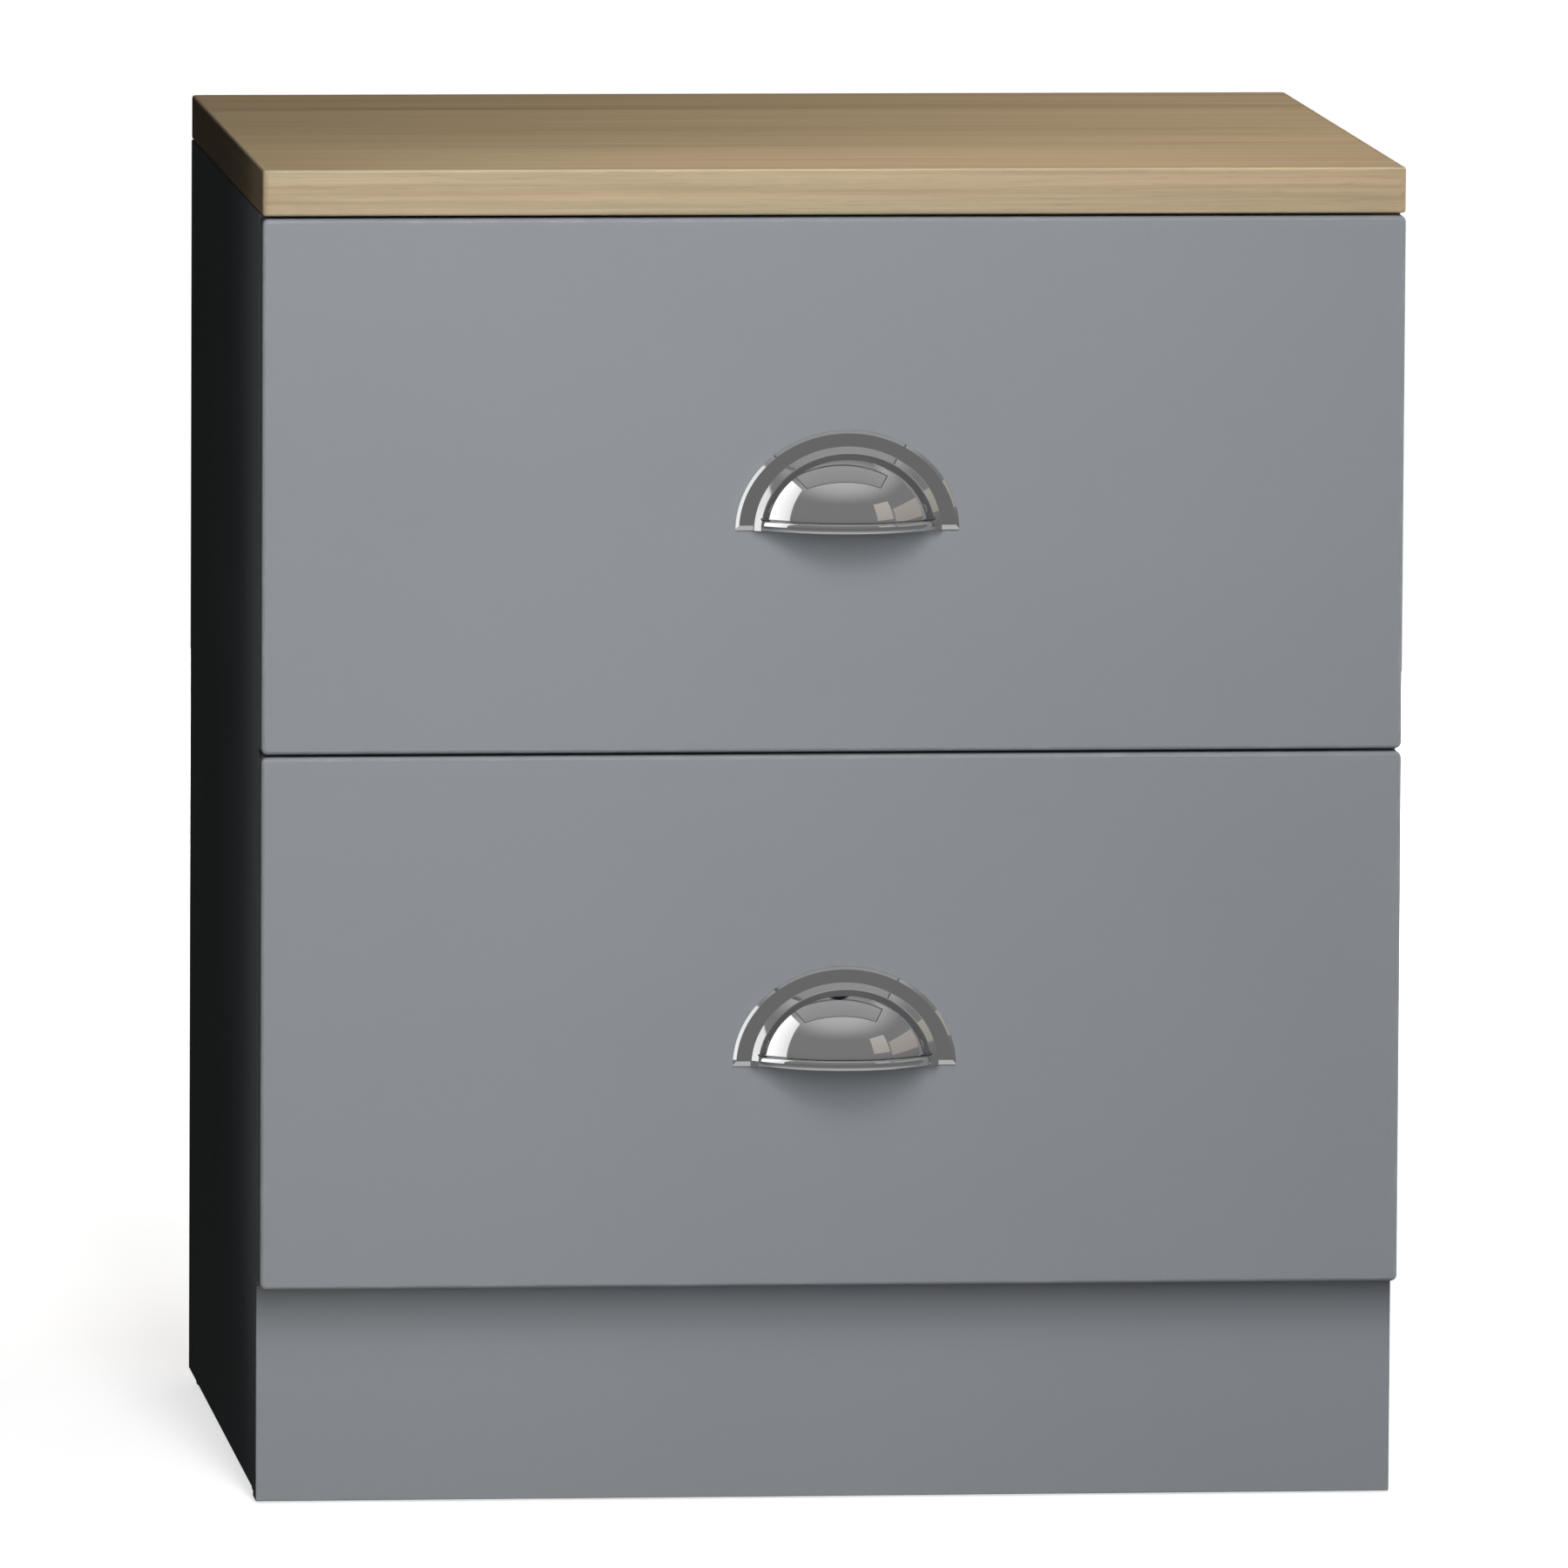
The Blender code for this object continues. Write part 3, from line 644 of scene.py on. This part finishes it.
def build_glides_and_bumpers():
    for end in ("front", "rear"):
        for name, _ in SIDES:
            node = f"{end}_{name}_glide"
            low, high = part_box(node)
            middle = (low + high) / 2
            radius = (high.x - low.x) / 2
            seat = low.z + 0.0037
            rim = arc((radius - 0.0016, 0.0016), 0.0016, 270, 360)
            nail = [(0.0010, seat), (0.0010, high.z - 0.002), (0.0, high.z)]
            recess = [(0.0, 0.0008), (0.0019, 0.0008), (0.0021, 0.0)]
            shape = turned([*recess, *rim, (radius, seat - 0.0004), (radius - 0.0004, seat), *nail])
            shape = moved(shape, (middle.x, middle.y, 0.0))
            piece(f"{node}_moulding", shape, [nylon], "cabinet", [node])
    for level in LEVELS:
        for name, _ in SIDES:
            node = f"{level}_{name}_bumper"
            low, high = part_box(node)
            radius = (high.x - low.x) / 2
            thick = high.y - low.y
            turns = [math.pi / 2 * step / 8 for step in range(8)]
            dome = [(radius * math.cos(turn), thick * math.sin(turn)) for turn in turns]
            shape = turned([(0.0, 0.0), *dome, (0.0, thick)])
            place = ((low.x + high.x) / 2, low.y, (low.z + high.z) / 2)
            shape = moved(shape, place, REAR)
            piece(f"{node}_dome", shape, [pad], f"{level}_drawer", [node])


# ---------------------------------------------------------------- drawers


def build_front(level):
    """Foil wrapped round the face and the edges of a board, over a pale rear."""
    node = f"{level}_drawer_front"
    low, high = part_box(node)
    half, middle = (high - low) / 2, (low + high) / 2

    def loop(inwards, depth):
        radius = max(FRONT_CORNER - inwards, HAIR * 4)
        outline = rounded_rectangle(half.x - inwards, half.z - inwards, radius)
        return [(middle.x + x, low.y + depth, middle.z + z) for x, z in outline]

    section = arc((FRONT_ROUND, FRONT_ROUND), FRONT_ROUND, 270, 180, 7)
    section += [(0.0, high.y - low.y - ARRIS), (ARRIS, high.y - low.y)]
    shape = loft([loop(inwards, depth) for inwards, depth in section])
    paint(shape, [(REAR, 1)], others=2)
    finishes = [foil, linen_pale, foil_arris]
    piece(f"{node}_wrapped", shape, finishes, f"{level}_drawer", [node], crease=60)


CORNER_SCREW_INSET = 0.006
CORNER_SCREW_HEIGHTS = (0.030, 0.130)


def build_box(level):
    name = f"{level}_drawer"
    base_low, base_high = grown(f"{name}_base")
    groove = (base_low, base_high + Vector((0.0, PAST, 0.0)))
    raw_edges = [(REAR, 1), (DOWN, 1)]
    for node in (f"{name}_inner_front", f"{name}_left_side", f"{name}_right_side"):
        board(node, name, box_faces, raw_edges, [groove], top_round=BOX_TOP_ROUND)
    board(f"{name}_back", name, box_faces, [(DOWN, 1)], top_round=BOX_TOP_ROUND)
    board(f"{name}_base", name, thin_faces, raw_edges, arris=THIN_ARRIS, others=1)
    for side, sign in SIDES:
        low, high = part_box(f"{name}_{side}_side")
        outer = high.x if sign > 0 else low.x
        ends = (low.y + CORNER_SCREW_INSET, high.y - CORNER_SCREW_INSET)
        places = [(outer, y, low.z + up) for y in ends for up in CORNER_SCREW_HEIGHTS]
        flat_heads(f"{name}_{side}_corner_screws", places, RIGHT if sign > 0 else LEFT, name, proud=0.0002)


CUP = {
    "radius": 0.0387,  # at the lip
    "steps": 80,  # round the half circle
    "thickness": 0.0022,  # the flange
    "bevel": 0.0014,
    "collar": 0.0394,  # the middle of the sloped ring round the dome
    "collar_half": 0.0019,
    "collar_rise": 0.0024,
    "wall": 0.0016,
    "fullness": 2.2,  # 2 makes the dome a parabola, and more makes it fuller
    "lip_height": 0.0044,
    "lip_proud": 0.0013,  # the rolled lip stands that far out of the dome
    "groove": 0.0006,  # above the lip
    "boss_radius": 0.0030,
    "boss_taper": 0.0002,
    "boss_round": 0.0005,
    "boss_height": 0.0042,
    "foot_deep": 0.0015,  # the chamfer along the bottom of the flange
    "foot_tall": 0.0022,
}


def full_curve(turn, radius, foot, peak):
    """A point (radius, out) of the dome's section, from its foot at 0 to its crown at a quarter turn."""
    across = math.cos(turn)
    return radius * across, foot + (peak - foot) * (1.0 - abs(across) ** CUP["fullness"])


def cup_profile(rim, out):
    """Half the handle's section, (radius, out) from the back of the rim over the dome, then back inside."""
    thick, bevel, wall = CUP["thickness"], CUP["bevel"], CUP["wall"]
    flange = [(rim, 0.0), (rim, thick - bevel * 0.8), (rim - bevel, thick)]
    middle, half = CUP["collar"], CUP["collar_half"]
    rise = CUP["collar_rise"]
    slope = [
        (middle + half, thick),
        (middle + half * 0.80, thick + rise * 0.07),
        (middle - half * 0.62, thick + rise),
    ]
    brow = [
        (middle - half * 0.82, thick + rise * 1.05),
        (middle - half, thick + rise * 0.9),
        (middle - half, thick),
    ]
    bowl = CUP["radius"] - CUP["lip_proud"]
    foot, crown = thick - 0.0002, out - CUP["lip_proud"]
    quarters = [math.pi / 2 * (step + 0.25) / 30 for step in range(30)]
    dome = [full_curve(turn, bowl, foot, crown) for turn in quarters]
    inner = [full_curve(turn, bowl - wall, 0.0, crown - wall) for turn in quarters]
    inner[0] = (bowl - wall, 0.0)
    return flange + slope + brow + dome + [(0.0, crown), (0.0, crown - wall)] + inner[::-1]


def rim_band(section, centre, wall, low_z, out):
    """A band along the dome's lower edge. section is (out of the dome, up) points."""
    start, span, ahead_by = 0.012, 0.976, 0.004
    proud = CUP["lip_proud"]
    radius, foot = CUP["radius"] - proud, CUP["thickness"]
    loops = []
    for step in range(CUP["steps"] + 1):
        turn = math.pi * (start + span * step / CUP["steps"])
        spot = Vector(full_curve(turn, radius, foot, out - proud))
        ahead = Vector(full_curve(turn + ahead_by, radius, foot, out - proud)) - spot
        normal = Vector((ahead.y, -ahead.x)).normalized()
        loops.append([
            (centre + spot.x + normal.x * over, wall - spot.y - normal.y * over, low_z + up)
            for over, up in section
        ])
    return loft(loops)


def lip_section():
    """The rolled lip's section: a rounded band."""
    height, proud = CUP["lip_height"], CUP["lip_proud"]
    turns = [math.pi * step / 12 for step in range(13)]
    bulge = [(proud * math.sin(turn) ** 0.7, height / 2 - height / 2 * math.cos(turn)) for turn in turns]
    return [(-CUP["wall"], height), (-CUP["wall"], 0.0), *bulge]


def foot_cutter(sign, centre, wall, low_z, rim):
    """A wedge that chamfers the bottom of the flange on one side of the dome."""
    deep, tall = CUP["foot_deep"], CUP["foot_tall"]
    face = wall - CUP["thickness"]
    clear = 0.002
    wedge = [
        (face - clear, low_z - clear),
        (face + deep * 1.5, low_z - tall * 0.5),
        (face - deep * 0.5, low_z + tall * 1.5),
        (face - clear, low_z + tall * 1.5),
    ]
    ends = (CUP["collar"] + CUP["collar_half"], rim + 0.001)
    return loft([[(centre + sign * x, y, z) for y, z in wedge] for x in ends])


def build_handle(level):
    """A cup handle: a bevelled flange, a sloped collar, a dome, a rolled lip and two bosses inside."""
    node = f"{level}_handle"
    low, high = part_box(node)
    rim = (high.x - low.x) / 2
    out = high.y - low.y - GAP
    centre, wall, squash = (low.x + high.x) / 2, high.y, (high.z - low.z) / rim
    bm = bmesh.new()
    section = bm.faces.new([bm.verts.new((radius, -depth, 0.0)) for radius, depth in cup_profile(rim, out)])
    geometry = [section, *section.edges, *section.verts]
    bmesh.ops.spin(bm, geom=geometry, axis=FRONT, cent=(0, 0, 0), angle=math.pi, steps=CUP["steps"])
    bmesh.ops.remove_doubles(bm, verts=bm.verts, dist=1e-7)
    bmesh.ops.scale(bm, verts=bm.verts, vec=(1.0, 1.0, squash))
    bmesh.ops.recalc_face_normals(bm, faces=bm.faces)
    bmesh.ops.translate(bm, verts=bm.verts, vec=(centre, wall, low.z))
    groove, top = CUP["groove"], CUP["lip_height"]
    channel = [(-2 * groove, top), (-2 * groove, top + groove), (0.002, top + 2 * groove), (0.002, top)]
    wedges = [foot_cutter(sign, centre, wall, low.z, rim) for _, sign in SIDES]
    bm = cut_by(bm, [rim_band(channel, centre, wall, low.z, out), *wedges])
    piece(f"{node}_cup", bm, [bright_chrome], f"{level}_drawer", [node], crease=28)
    lip = rim_band(lip_section(), centre, wall, low.z, out)
    piece(f"{node}_lip", lip, [bright_chrome], f"{level}_drawer", crease=50)

    bosses = []
    for name, _ in SIDES:
        bolt_low, bolt_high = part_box(f"{level}_{name}_handle_bolt")
        spot = (bolt_low + bolt_high) / 2
        shoulder = CUP["boss_height"] - CUP["boss_round"]
        tip_middle = CUP["boss_radius"] - CUP["boss_taper"] - CUP["boss_round"]
        tip = arc((tip_middle, shoulder), CUP["boss_round"], 0, 90, 3)
        profile = [(0.0, 0.0), (CUP["boss_radius"], 0.0), *tip, (0.0, CUP["boss_height"])]
        bosses.append(moved(turned(profile), (spot.x, wall, spot.z), FRONT))
    piece(f"{node}_bosses", merged(bosses), [bright_chrome], f"{level}_drawer")


# ---------------------------------------------------------------- runners


def bent_strip(corners, thickness, radius=0.0014):
    """The closed outline of sheet metal bent at corners, which are (u, z) points on its middle line."""
    steps = 4
    points = [Vector(corner) for corner in corners]
    path = [points[0]]
    for before, at, after in zip(points, points[1:], points[2:]):
        come, go = (before - at).normalized(), (after - at).normalized()
        bend = math.acos(max(-1.0, min(1.0, come.dot(go))))
        cut = min(radius / math.tan(bend / 2), (before - at).length * 0.45, (after - at).length * 0.45)
        start, end = at + come * cut, at + go * cut
        for step in range(steps + 1):
            share = step / steps
            path.append(start.lerp(at, share).lerp(at.lerp(end, share), share))
    path.append(points[-1])
    outline = []
    for index, point in enumerate(path):
        run = (path[min(index + 1, len(path) - 1)] - path[max(index - 1, 0)]).normalized()
        outline.append((point, Vector((-run.y, run.x)) * thickness / 2))
    return [point + side for point, side in outline] + [point - side for point, side in reversed(outline)]


def slot_cutter(x, y, z, length, height):
    """A round-ended bar through a web, along X."""
    reach = 0.003
    outline = rounded_rectangle(length / 2, height / 2, height / 2 - 1e-5, 6)
    return loft([[(x + side, y + a, z + b) for a, b in outline] for side in (-reach, reach)])


OUTER_LINE = (
    (0.0105, -0.0196),
    (0.0105, -0.0219),
    (0.0009, -0.0219),
    (0.0009, 0.0219),
    (0.0105, 0.0219),
    (0.0105, 0.0196),
)
MIDDLE_LINE = (
    (0.0098, -0.0168),
    (0.0046, -0.0168),
    (0.0046, -0.0075),
    (0.0058, -0.0055),
    (0.0058, 0.0055),
    (0.0046, 0.0075),
    (0.0046, 0.0168),
    (0.0098, 0.0168),
)
INNER_LINE = ((0.0068, -0.0119), (0.0121, -0.0119), (0.0121, 0.0119), (0.0068, 0.0119))
OUTER_SLOTS = (
    (0.032, 0.010, 0.0046),
    (0.064, 0.0064, 0.0064),
    (0.128, 0.012, 0.0046),
    (0.224, 0.010, 0.0046),
    (0.320, 0.012, 0.0046),
)
MIDDLE_SLOTS = ((0.026, 0.016, 0.0080), (0.170, 0.030, 0.0070), (0.314, 0.016, 0.0080))
INNER_SLOTS = (
    (0.035, 0.0062, 0.0046),
    (0.054, 0.011, 0.0042),
    (0.150, 0.0062, 0.0046),
    (0.246, 0.011, 0.0042),
    (0.320, 0.0062, 0.0046),
)
# The section's middle line as (distance from the cabinet's inner side, height), the web's distance,
# and the web's slots as (distance from the front end, length, height).
MEMBERS = {
    "outer": (OUTER_LINE, 0.0009, OUTER_SLOTS),
    "middle": (MIDDLE_LINE, 0.0058, MIDDLE_SLOTS),
    "inner": (INNER_LINE, 0.0121, INNER_SLOTS),
}
# Distances from a member's front end, and each screw's head radius, head height, shank radius and shank
OUTER_SCREWS = (0.048, 0.160, 0.300)
INNER_SCREWS = (0.080, 0.200, 0.290)
RUNNER_SCREW = (0.0031, 0.0014, 0.0016, 0.010)
BALL_RADIUS = 0.0017
BALLS = 10
BALL_PITCH = 0.0095
CAGE_LENGTH = 0.098
# Where the four ball races run: distance from the cabinet's inner side, height off the middle, and start
RACES = ((0.0075, 0.0193, 0.222), (0.0086, 0.0144, 0.030))
LEVER_START = 0.226
LEVER_LINE = ((0.0, 0.0), (0.012, 0.0024), (0.040, 0.0024), (0.052, -0.0030), (0.066, -0.0034))


def build_runner_member(level, side, sign, member, body):
    corners, web, slots = MEMBERS[member]
    node = f"{level}_{side}_runner_{member}"
    low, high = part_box(node)
    inner_side = abs((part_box(f"{side}_side_panel")[0 if sign > 0 else 1]).x)
    height = (low.z + high.z) / 2
    outline = bent_strip(corners, SHEET - 0.0002)
    loops = [[(sign * (inner_side - u), y, height + z) for u, z in outline] for y in (low.y, high.y)]
    cutters = [
        slot_cutter(sign * (inner_side - web), low.y + along_y, height, length, tall)
        for along_y, length, tall in slots
    ]
    piece(f"{node}_rolled", cut_by(loft(loops), cutters), [zinc], body, [node], crease=30)
    return low, height, inner_side


def ball_race(u, z, first):
    """A cage strip and its balls, in (distance, y, height) from the runner's front end."""
    half_width, thickness = 0.0016, 0.0007
    outline = bent_strip([(u - half_width, z), (u + half_width, z)], thickness)
    cage = loft([[(a, y, b) for a, b in outline] for y in (first, first + CAGE_LENGTH)])
    balls = []
    for index in range(BALLS):
        ball = bmesh.new()
        bmesh.ops.create_icosphere(ball, subdivisions=2, radius=BALL_RADIUS)
        bmesh.ops.translate(ball, verts=ball.verts, vec=(u, first + BALL_PITCH * (index + 0.7), z))
        balls.append(ball)
    return cage, balls


def build_runner(level, side, sign):
    """Three rolled members, the ball cages between them, their screws and the release lever."""
    cabinet, middle, drawer = "cabinet", f"{level}_runner_middle", f"{level}_drawer"
    build_runner_member(level, side, sign, "outer", cabinet)
    low, height, inner_side = build_runner_member(level, side, sign, "middle", middle)
    build_runner_member(level, side, sign, "inner", drawer)

    def into_place(bm):
        """From (distance, y, height) of the runner into the object."""
        for vert in bm.verts:
            vert.co = (sign * (inner_side - vert.co.x), low.y + vert.co.y, height + vert.co.z)
        bmesh.ops.recalc_face_normals(bm, faces=bm.faces)
        return bm

    cages, balls = [], []
    for u, z, first in RACES:
        for face in (-1, 1):
            cage, cage_balls = ball_race(u, face * z, first)
            cages.append(cage)
            balls += cage_balls
    piece(f"{level}_{side}_ball_cages", into_place(merged(cages)), [cage_plastic], middle)
    piece(f"{level}_{side}_balls", into_place(merged(balls)), [ball_steel], middle, crease=80)

    outline = bent_strip(LEVER_LINE, 0.0022, radius=0.006)
    lever_shape = loft([[(u, LEVER_START + a, b) for a, b in outline] for u in (0.0088, 0.0104)])
    ease(lever_shape, 0.0003, 2)
    piece(f"{level}_{side}_release_lever", into_place(lever_shape), [nylon], drawer)

    for member, body, web, facing, places in (
        ("outer", cabinet, 0.0015, 1, OUTER_SCREWS),
        ("inner", drawer, 0.0115, -1, INNER_SCREWS),
    ):
        way = LEFT * sign * facing
        spots = [(sign * (inner_side - web), low.y + y, height) for y in places]
        shapes = [moved(screw_shape(*RUNNER_SCREW), spot, -way) for spot in spots]
        piece(f"{level}_{side}_{member}_runner_screws", merged(shapes), [zinc_screw], body)


# ---------------------------------------------------------------- stage, camera and light

AIM = Vector((-0.0215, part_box("upper_drawer_front")[0].y, 0.3181))
CAMERA_DISTANCE = 8.94
CAMERA_YAW = math.radians(5.901)
CAMERA_PITCH = math.radians(6.409)
CAMERA_ROLL = math.radians(0.315)
LENS = 470.72
SENSOR = 36.0


def build_camera():
    data = bpy.data.cameras.new("camera")
    data.lens = LENS
    data.sensor_width = SENSOR
    data.clip_end = 200.0
    made = bpy.data.objects.new("camera", data)
    bpy.context.scene.collection.objects.link(made)
    look = Vector((
        math.sin(CAMERA_YAW) * math.cos(CAMERA_PITCH),
        math.cos(CAMERA_YAW) * math.cos(CAMERA_PITCH),
        -math.sin(CAMERA_PITCH),
    ))
    made.location = AIM - look * CAMERA_DISTANCE
    turn = look.to_track_quat("-Z", "Y").to_matrix() @ Matrix.Rotation(CAMERA_ROLL, 3, "Z")
    made.rotation_euler = turn.to_euler()
    bpy.context.scene.camera = made


def area_light(name, place, target, width, height, power):
    """A soft lamp that neither the camera nor reflections show."""
    data = bpy.data.lights.new(name, "AREA")
    data.shape = "RECTANGLE"
    data.size = width
    data.size_y = height
    data.energy = power
    made = bpy.data.objects.new(name, data)
    made.location = place
    made.rotation_euler = (Vector(target) - Vector(place)).to_track_quat("-Z", "Y").to_euler()
    made.visible_camera = False
    made.visible_glossy = False
    bpy.context.scene.collection.objects.link(made)


def card(name, place, facing, width, height, colour, first, last, sideways=False):
    """A panel that only reflections show. Its glow goes from first to last, upwards or sideways."""
    bm = bmesh.new()
    bmesh.ops.create_grid(bm, x_segments=1, y_segments=1, size=0.5)
    mesh = bpy.data.meshes.new(name)
    bm.to_mesh(mesh)
    bm.free()
    glow = Finish(name, (0.0, 0.0, 0.0), 1.0)
    glow.shader.inputs["Emission Color"].default_value = (*colour, 1.0)
    spot = glow.add("ShaderNodeSeparateXYZ", {"Vector": glow.place((1.0, 1.0, 1.0))})
    along_it = spot.outputs["X" if sideways else "Y"]
    glow.feed("Emission Strength", glow.range(along_it, first, last, -0.5, 0.5))
    mesh.materials.append(glow.material)
    made = bpy.data.objects.new(name, mesh)
    made.scale = (width, height, 1.0)
    made.location = place
    made.rotation_euler = Vector(facing).to_track_quat("Z", "Y").to_euler()
    made.visible_camera = False
    made.visible_diffuse = False
    made.visible_shadow = False
    bpy.context.scene.collection.objects.link(made)


def build_world():
    """White behind the object and dim all round it. Metal mirrors a grey room, darker at its back left."""
    world = bpy.data.worlds.new("studio")
    world.use_nodes = True
    bpy.context.scene.world = world
    tree = world.node_tree
    output = tree.nodes["World Output"]
    path = tree.nodes.new("ShaderNodeLightPath")

    def link(source, target):
        tree.links.new(source, target)

    def glow(strength):
        made = tree.nodes.new("ShaderNodeBackground")
        made.inputs["Color"].default_value = (1.0, 1.0, 1.0, 1.0)
        if isinstance(strength, bpy.types.NodeSocket):
            link(strength, made.inputs["Strength"])
        else:
            made.inputs["Strength"].default_value = strength
        return made.outputs[0]

    def choose(factor, first, second):
        made = tree.nodes.new("ShaderNodeMixShader")
        link(factor, made.inputs[0])
        link(first, made.inputs[1])
        link(second, made.inputs[2])
        return made.outputs[0]

    def fade(value, start, end, low, high):
        made = tree.nodes.new("ShaderNodeMapRange")
        made.interpolation_type = "SMOOTHSTEP"
        link(value, made.inputs["Value"])
        for socket, number in (("From Min", start), ("From Max", end), ("To Min", low), ("To Max", high)):
            made.inputs[socket].default_value = number
        return made.outputs["Result"]

    def math_node(operation, first, second):
        made = tree.nodes.new("ShaderNodeMath")
        made.operation = operation
        link(first, made.inputs[0])
        link(second, made.inputs[1])
        return made.outputs["Value"]

    where = tree.nodes.new("ShaderNodeSeparateXYZ")
    link(tree.nodes.new("ShaderNodeTexCoord").outputs["Generated"], where.inputs["Vector"])
    right, rear, height = where.outputs["X"], where.outputs["Y"], where.outputs["Z"]
    wall = fade(height, -0.05, 0.3, 0.165, 0.22)
    ceiling = fade(height, 0.58, 0.95, 0.0, 0.30)
    ground = fade(height, -0.95, -0.2, 0.36, 0.0)
    walls = math_node("ADD", math_node("ADD", wall, ceiling), ground)
    front = fade(rear, -0.3, 0.3, 1.0, 0.012)
    right_side = fade(right, 0.2, 0.6, 0.0, 1.0)
    below = fade(height, -0.7, -0.3, 1.0, 0.0)
    lit = math_node("MAXIMUM", math_node("MAXIMUM", front, right_side), below)
    room = math_node("MULTIPLY", walls, lit)
    dim = choose(path.outputs["Is Glossy Ray"], glow(0.014), glow(room))
    link(choose(path.outputs["Is Camera Ray"], dim, glow(1.0)), output.inputs["Surface"])


FLOOR_HALF = 80.0
FLOOR_TONE = (0.72, 0.72, 0.72)


def build_floor():
    """A pale floor with some glow of its own, less near the object so that its shadow shows."""
    bm = bmesh.new()
    bmesh.ops.create_grid(bm, x_segments=1, y_segments=1, size=FLOOR_HALF)
    mesh = bpy.data.meshes.new("floor")
    bm.to_mesh(mesh)
    bm.free()
    pale = Finish("floor", FLOOR_TONE, 0.9)
    pale.shader.inputs["Emission Color"].default_value = (1.0, 1.0, 1.0, 1.0)
    vector = {"Vector": pale.place((1.0, 1.0, 1.0))}
    distance = pale.add("ShaderNodeVectorMath", vector, operation="LENGTH").outputs["Value"]
    pale.feed("Emission Strength", pale.range(distance, 0.70, 1.0, 0.45, 1.6))
    mesh.materials.append(pale.material)
    made = bpy.data.objects.new("floor", mesh)
    made.visible_diffuse = False
    made.visible_glossy = False
    bpy.context.scene.collection.objects.link(made)


def build_lights():
    """Lamps light the surfaces, and cards shape what metal mirrors.

    worktop_strip and side_strip are close to the object, and light the worktop's front and the left side's
    front edge. Of the others, only near_key reaches past the left side.
    """
    front = (-0.10, -0.20, 0.42)
    centre = (0.0, 0.0, 0.30)
    area_light("key", (-0.11, -2.7, 1.50), front, 0.27, 2.2, 50.7)
    area_light("near_key", (-0.175, -1.1, 1.25), front, 0.19, 0.5, 5.0)
    area_light("low_fill", (-0.16, -1.3, 0.05), front, 0.15, 0.4, 2.7)
    area_light("top", (0.40, 0.0, 1.20), (0.05, 0.0, 0.587), 0.25, 0.12, 3.1)
    area_light("worktop_strip", (0.0, -0.165, 0.68), (0.0, -0.1649, 0.0), 0.42, 0.04, 0.10)
    area_light("side_strip", (-0.33, -0.181, 0.33), (0.0, -0.181, 0.33), 0.03, 0.60, 0.034)
    area_light("rear", (0.75, 3.2, 0.28), centre, 1.9, 0.5, 90.0)
    area_light("right", (3.2, 0.2, 0.28), centre, 1.6, 0.5, 70.0)
    white, warm = (1.0, 1.0, 1.0), (1.0, 0.93, 0.84)
    card("left_card", (-4.5, -1.05, 2.8), RIGHT, 2.3, 5.6, white, 0.9, 1.6, sideways=True)
    card("window_near", (3.34, -3.23, 2.45), (-0.743, 0.669, 0.0), 1.7, 2.1, warm, 0.44, 0.52)
    card("window_far", (4.52, -1.10, 1.80), (-0.98, 0.19, 0.0), 3.0, 1.5, warm, 0.36, 0.42)
    card("overhead", (0.0, -1.17, 4.53), (0.0, 0.01, -1.0), 6.0, 1.3, white, 0.30, 0.36)
    card("overhead_frame", (0.0, -1.17, 4.58), (0.0, 0.01, -1.0), 6.3, 1.5, white, 0.12, 0.12)
    card("rear_card", (2.6, 3.4, 1.3), (-0.6, -0.8, -0.15), 2.2, 2.4, white, 0.3, 0.7)


def build_all():
    build_worktop()
    build_carcass()
    build_screws()
    build_cams()
    build_glides_and_bumpers()
    for level in LEVELS:
        build_front(level)
        build_box(level)
        build_handle(level)
        for side, sign in SIDES:
            build_runner(level, side, sign)
    build_camera()
    build_world()
    build_floor()
    build_lights()
    bpy.context.scene.view_settings.view_transform = "Standard"


build_all()
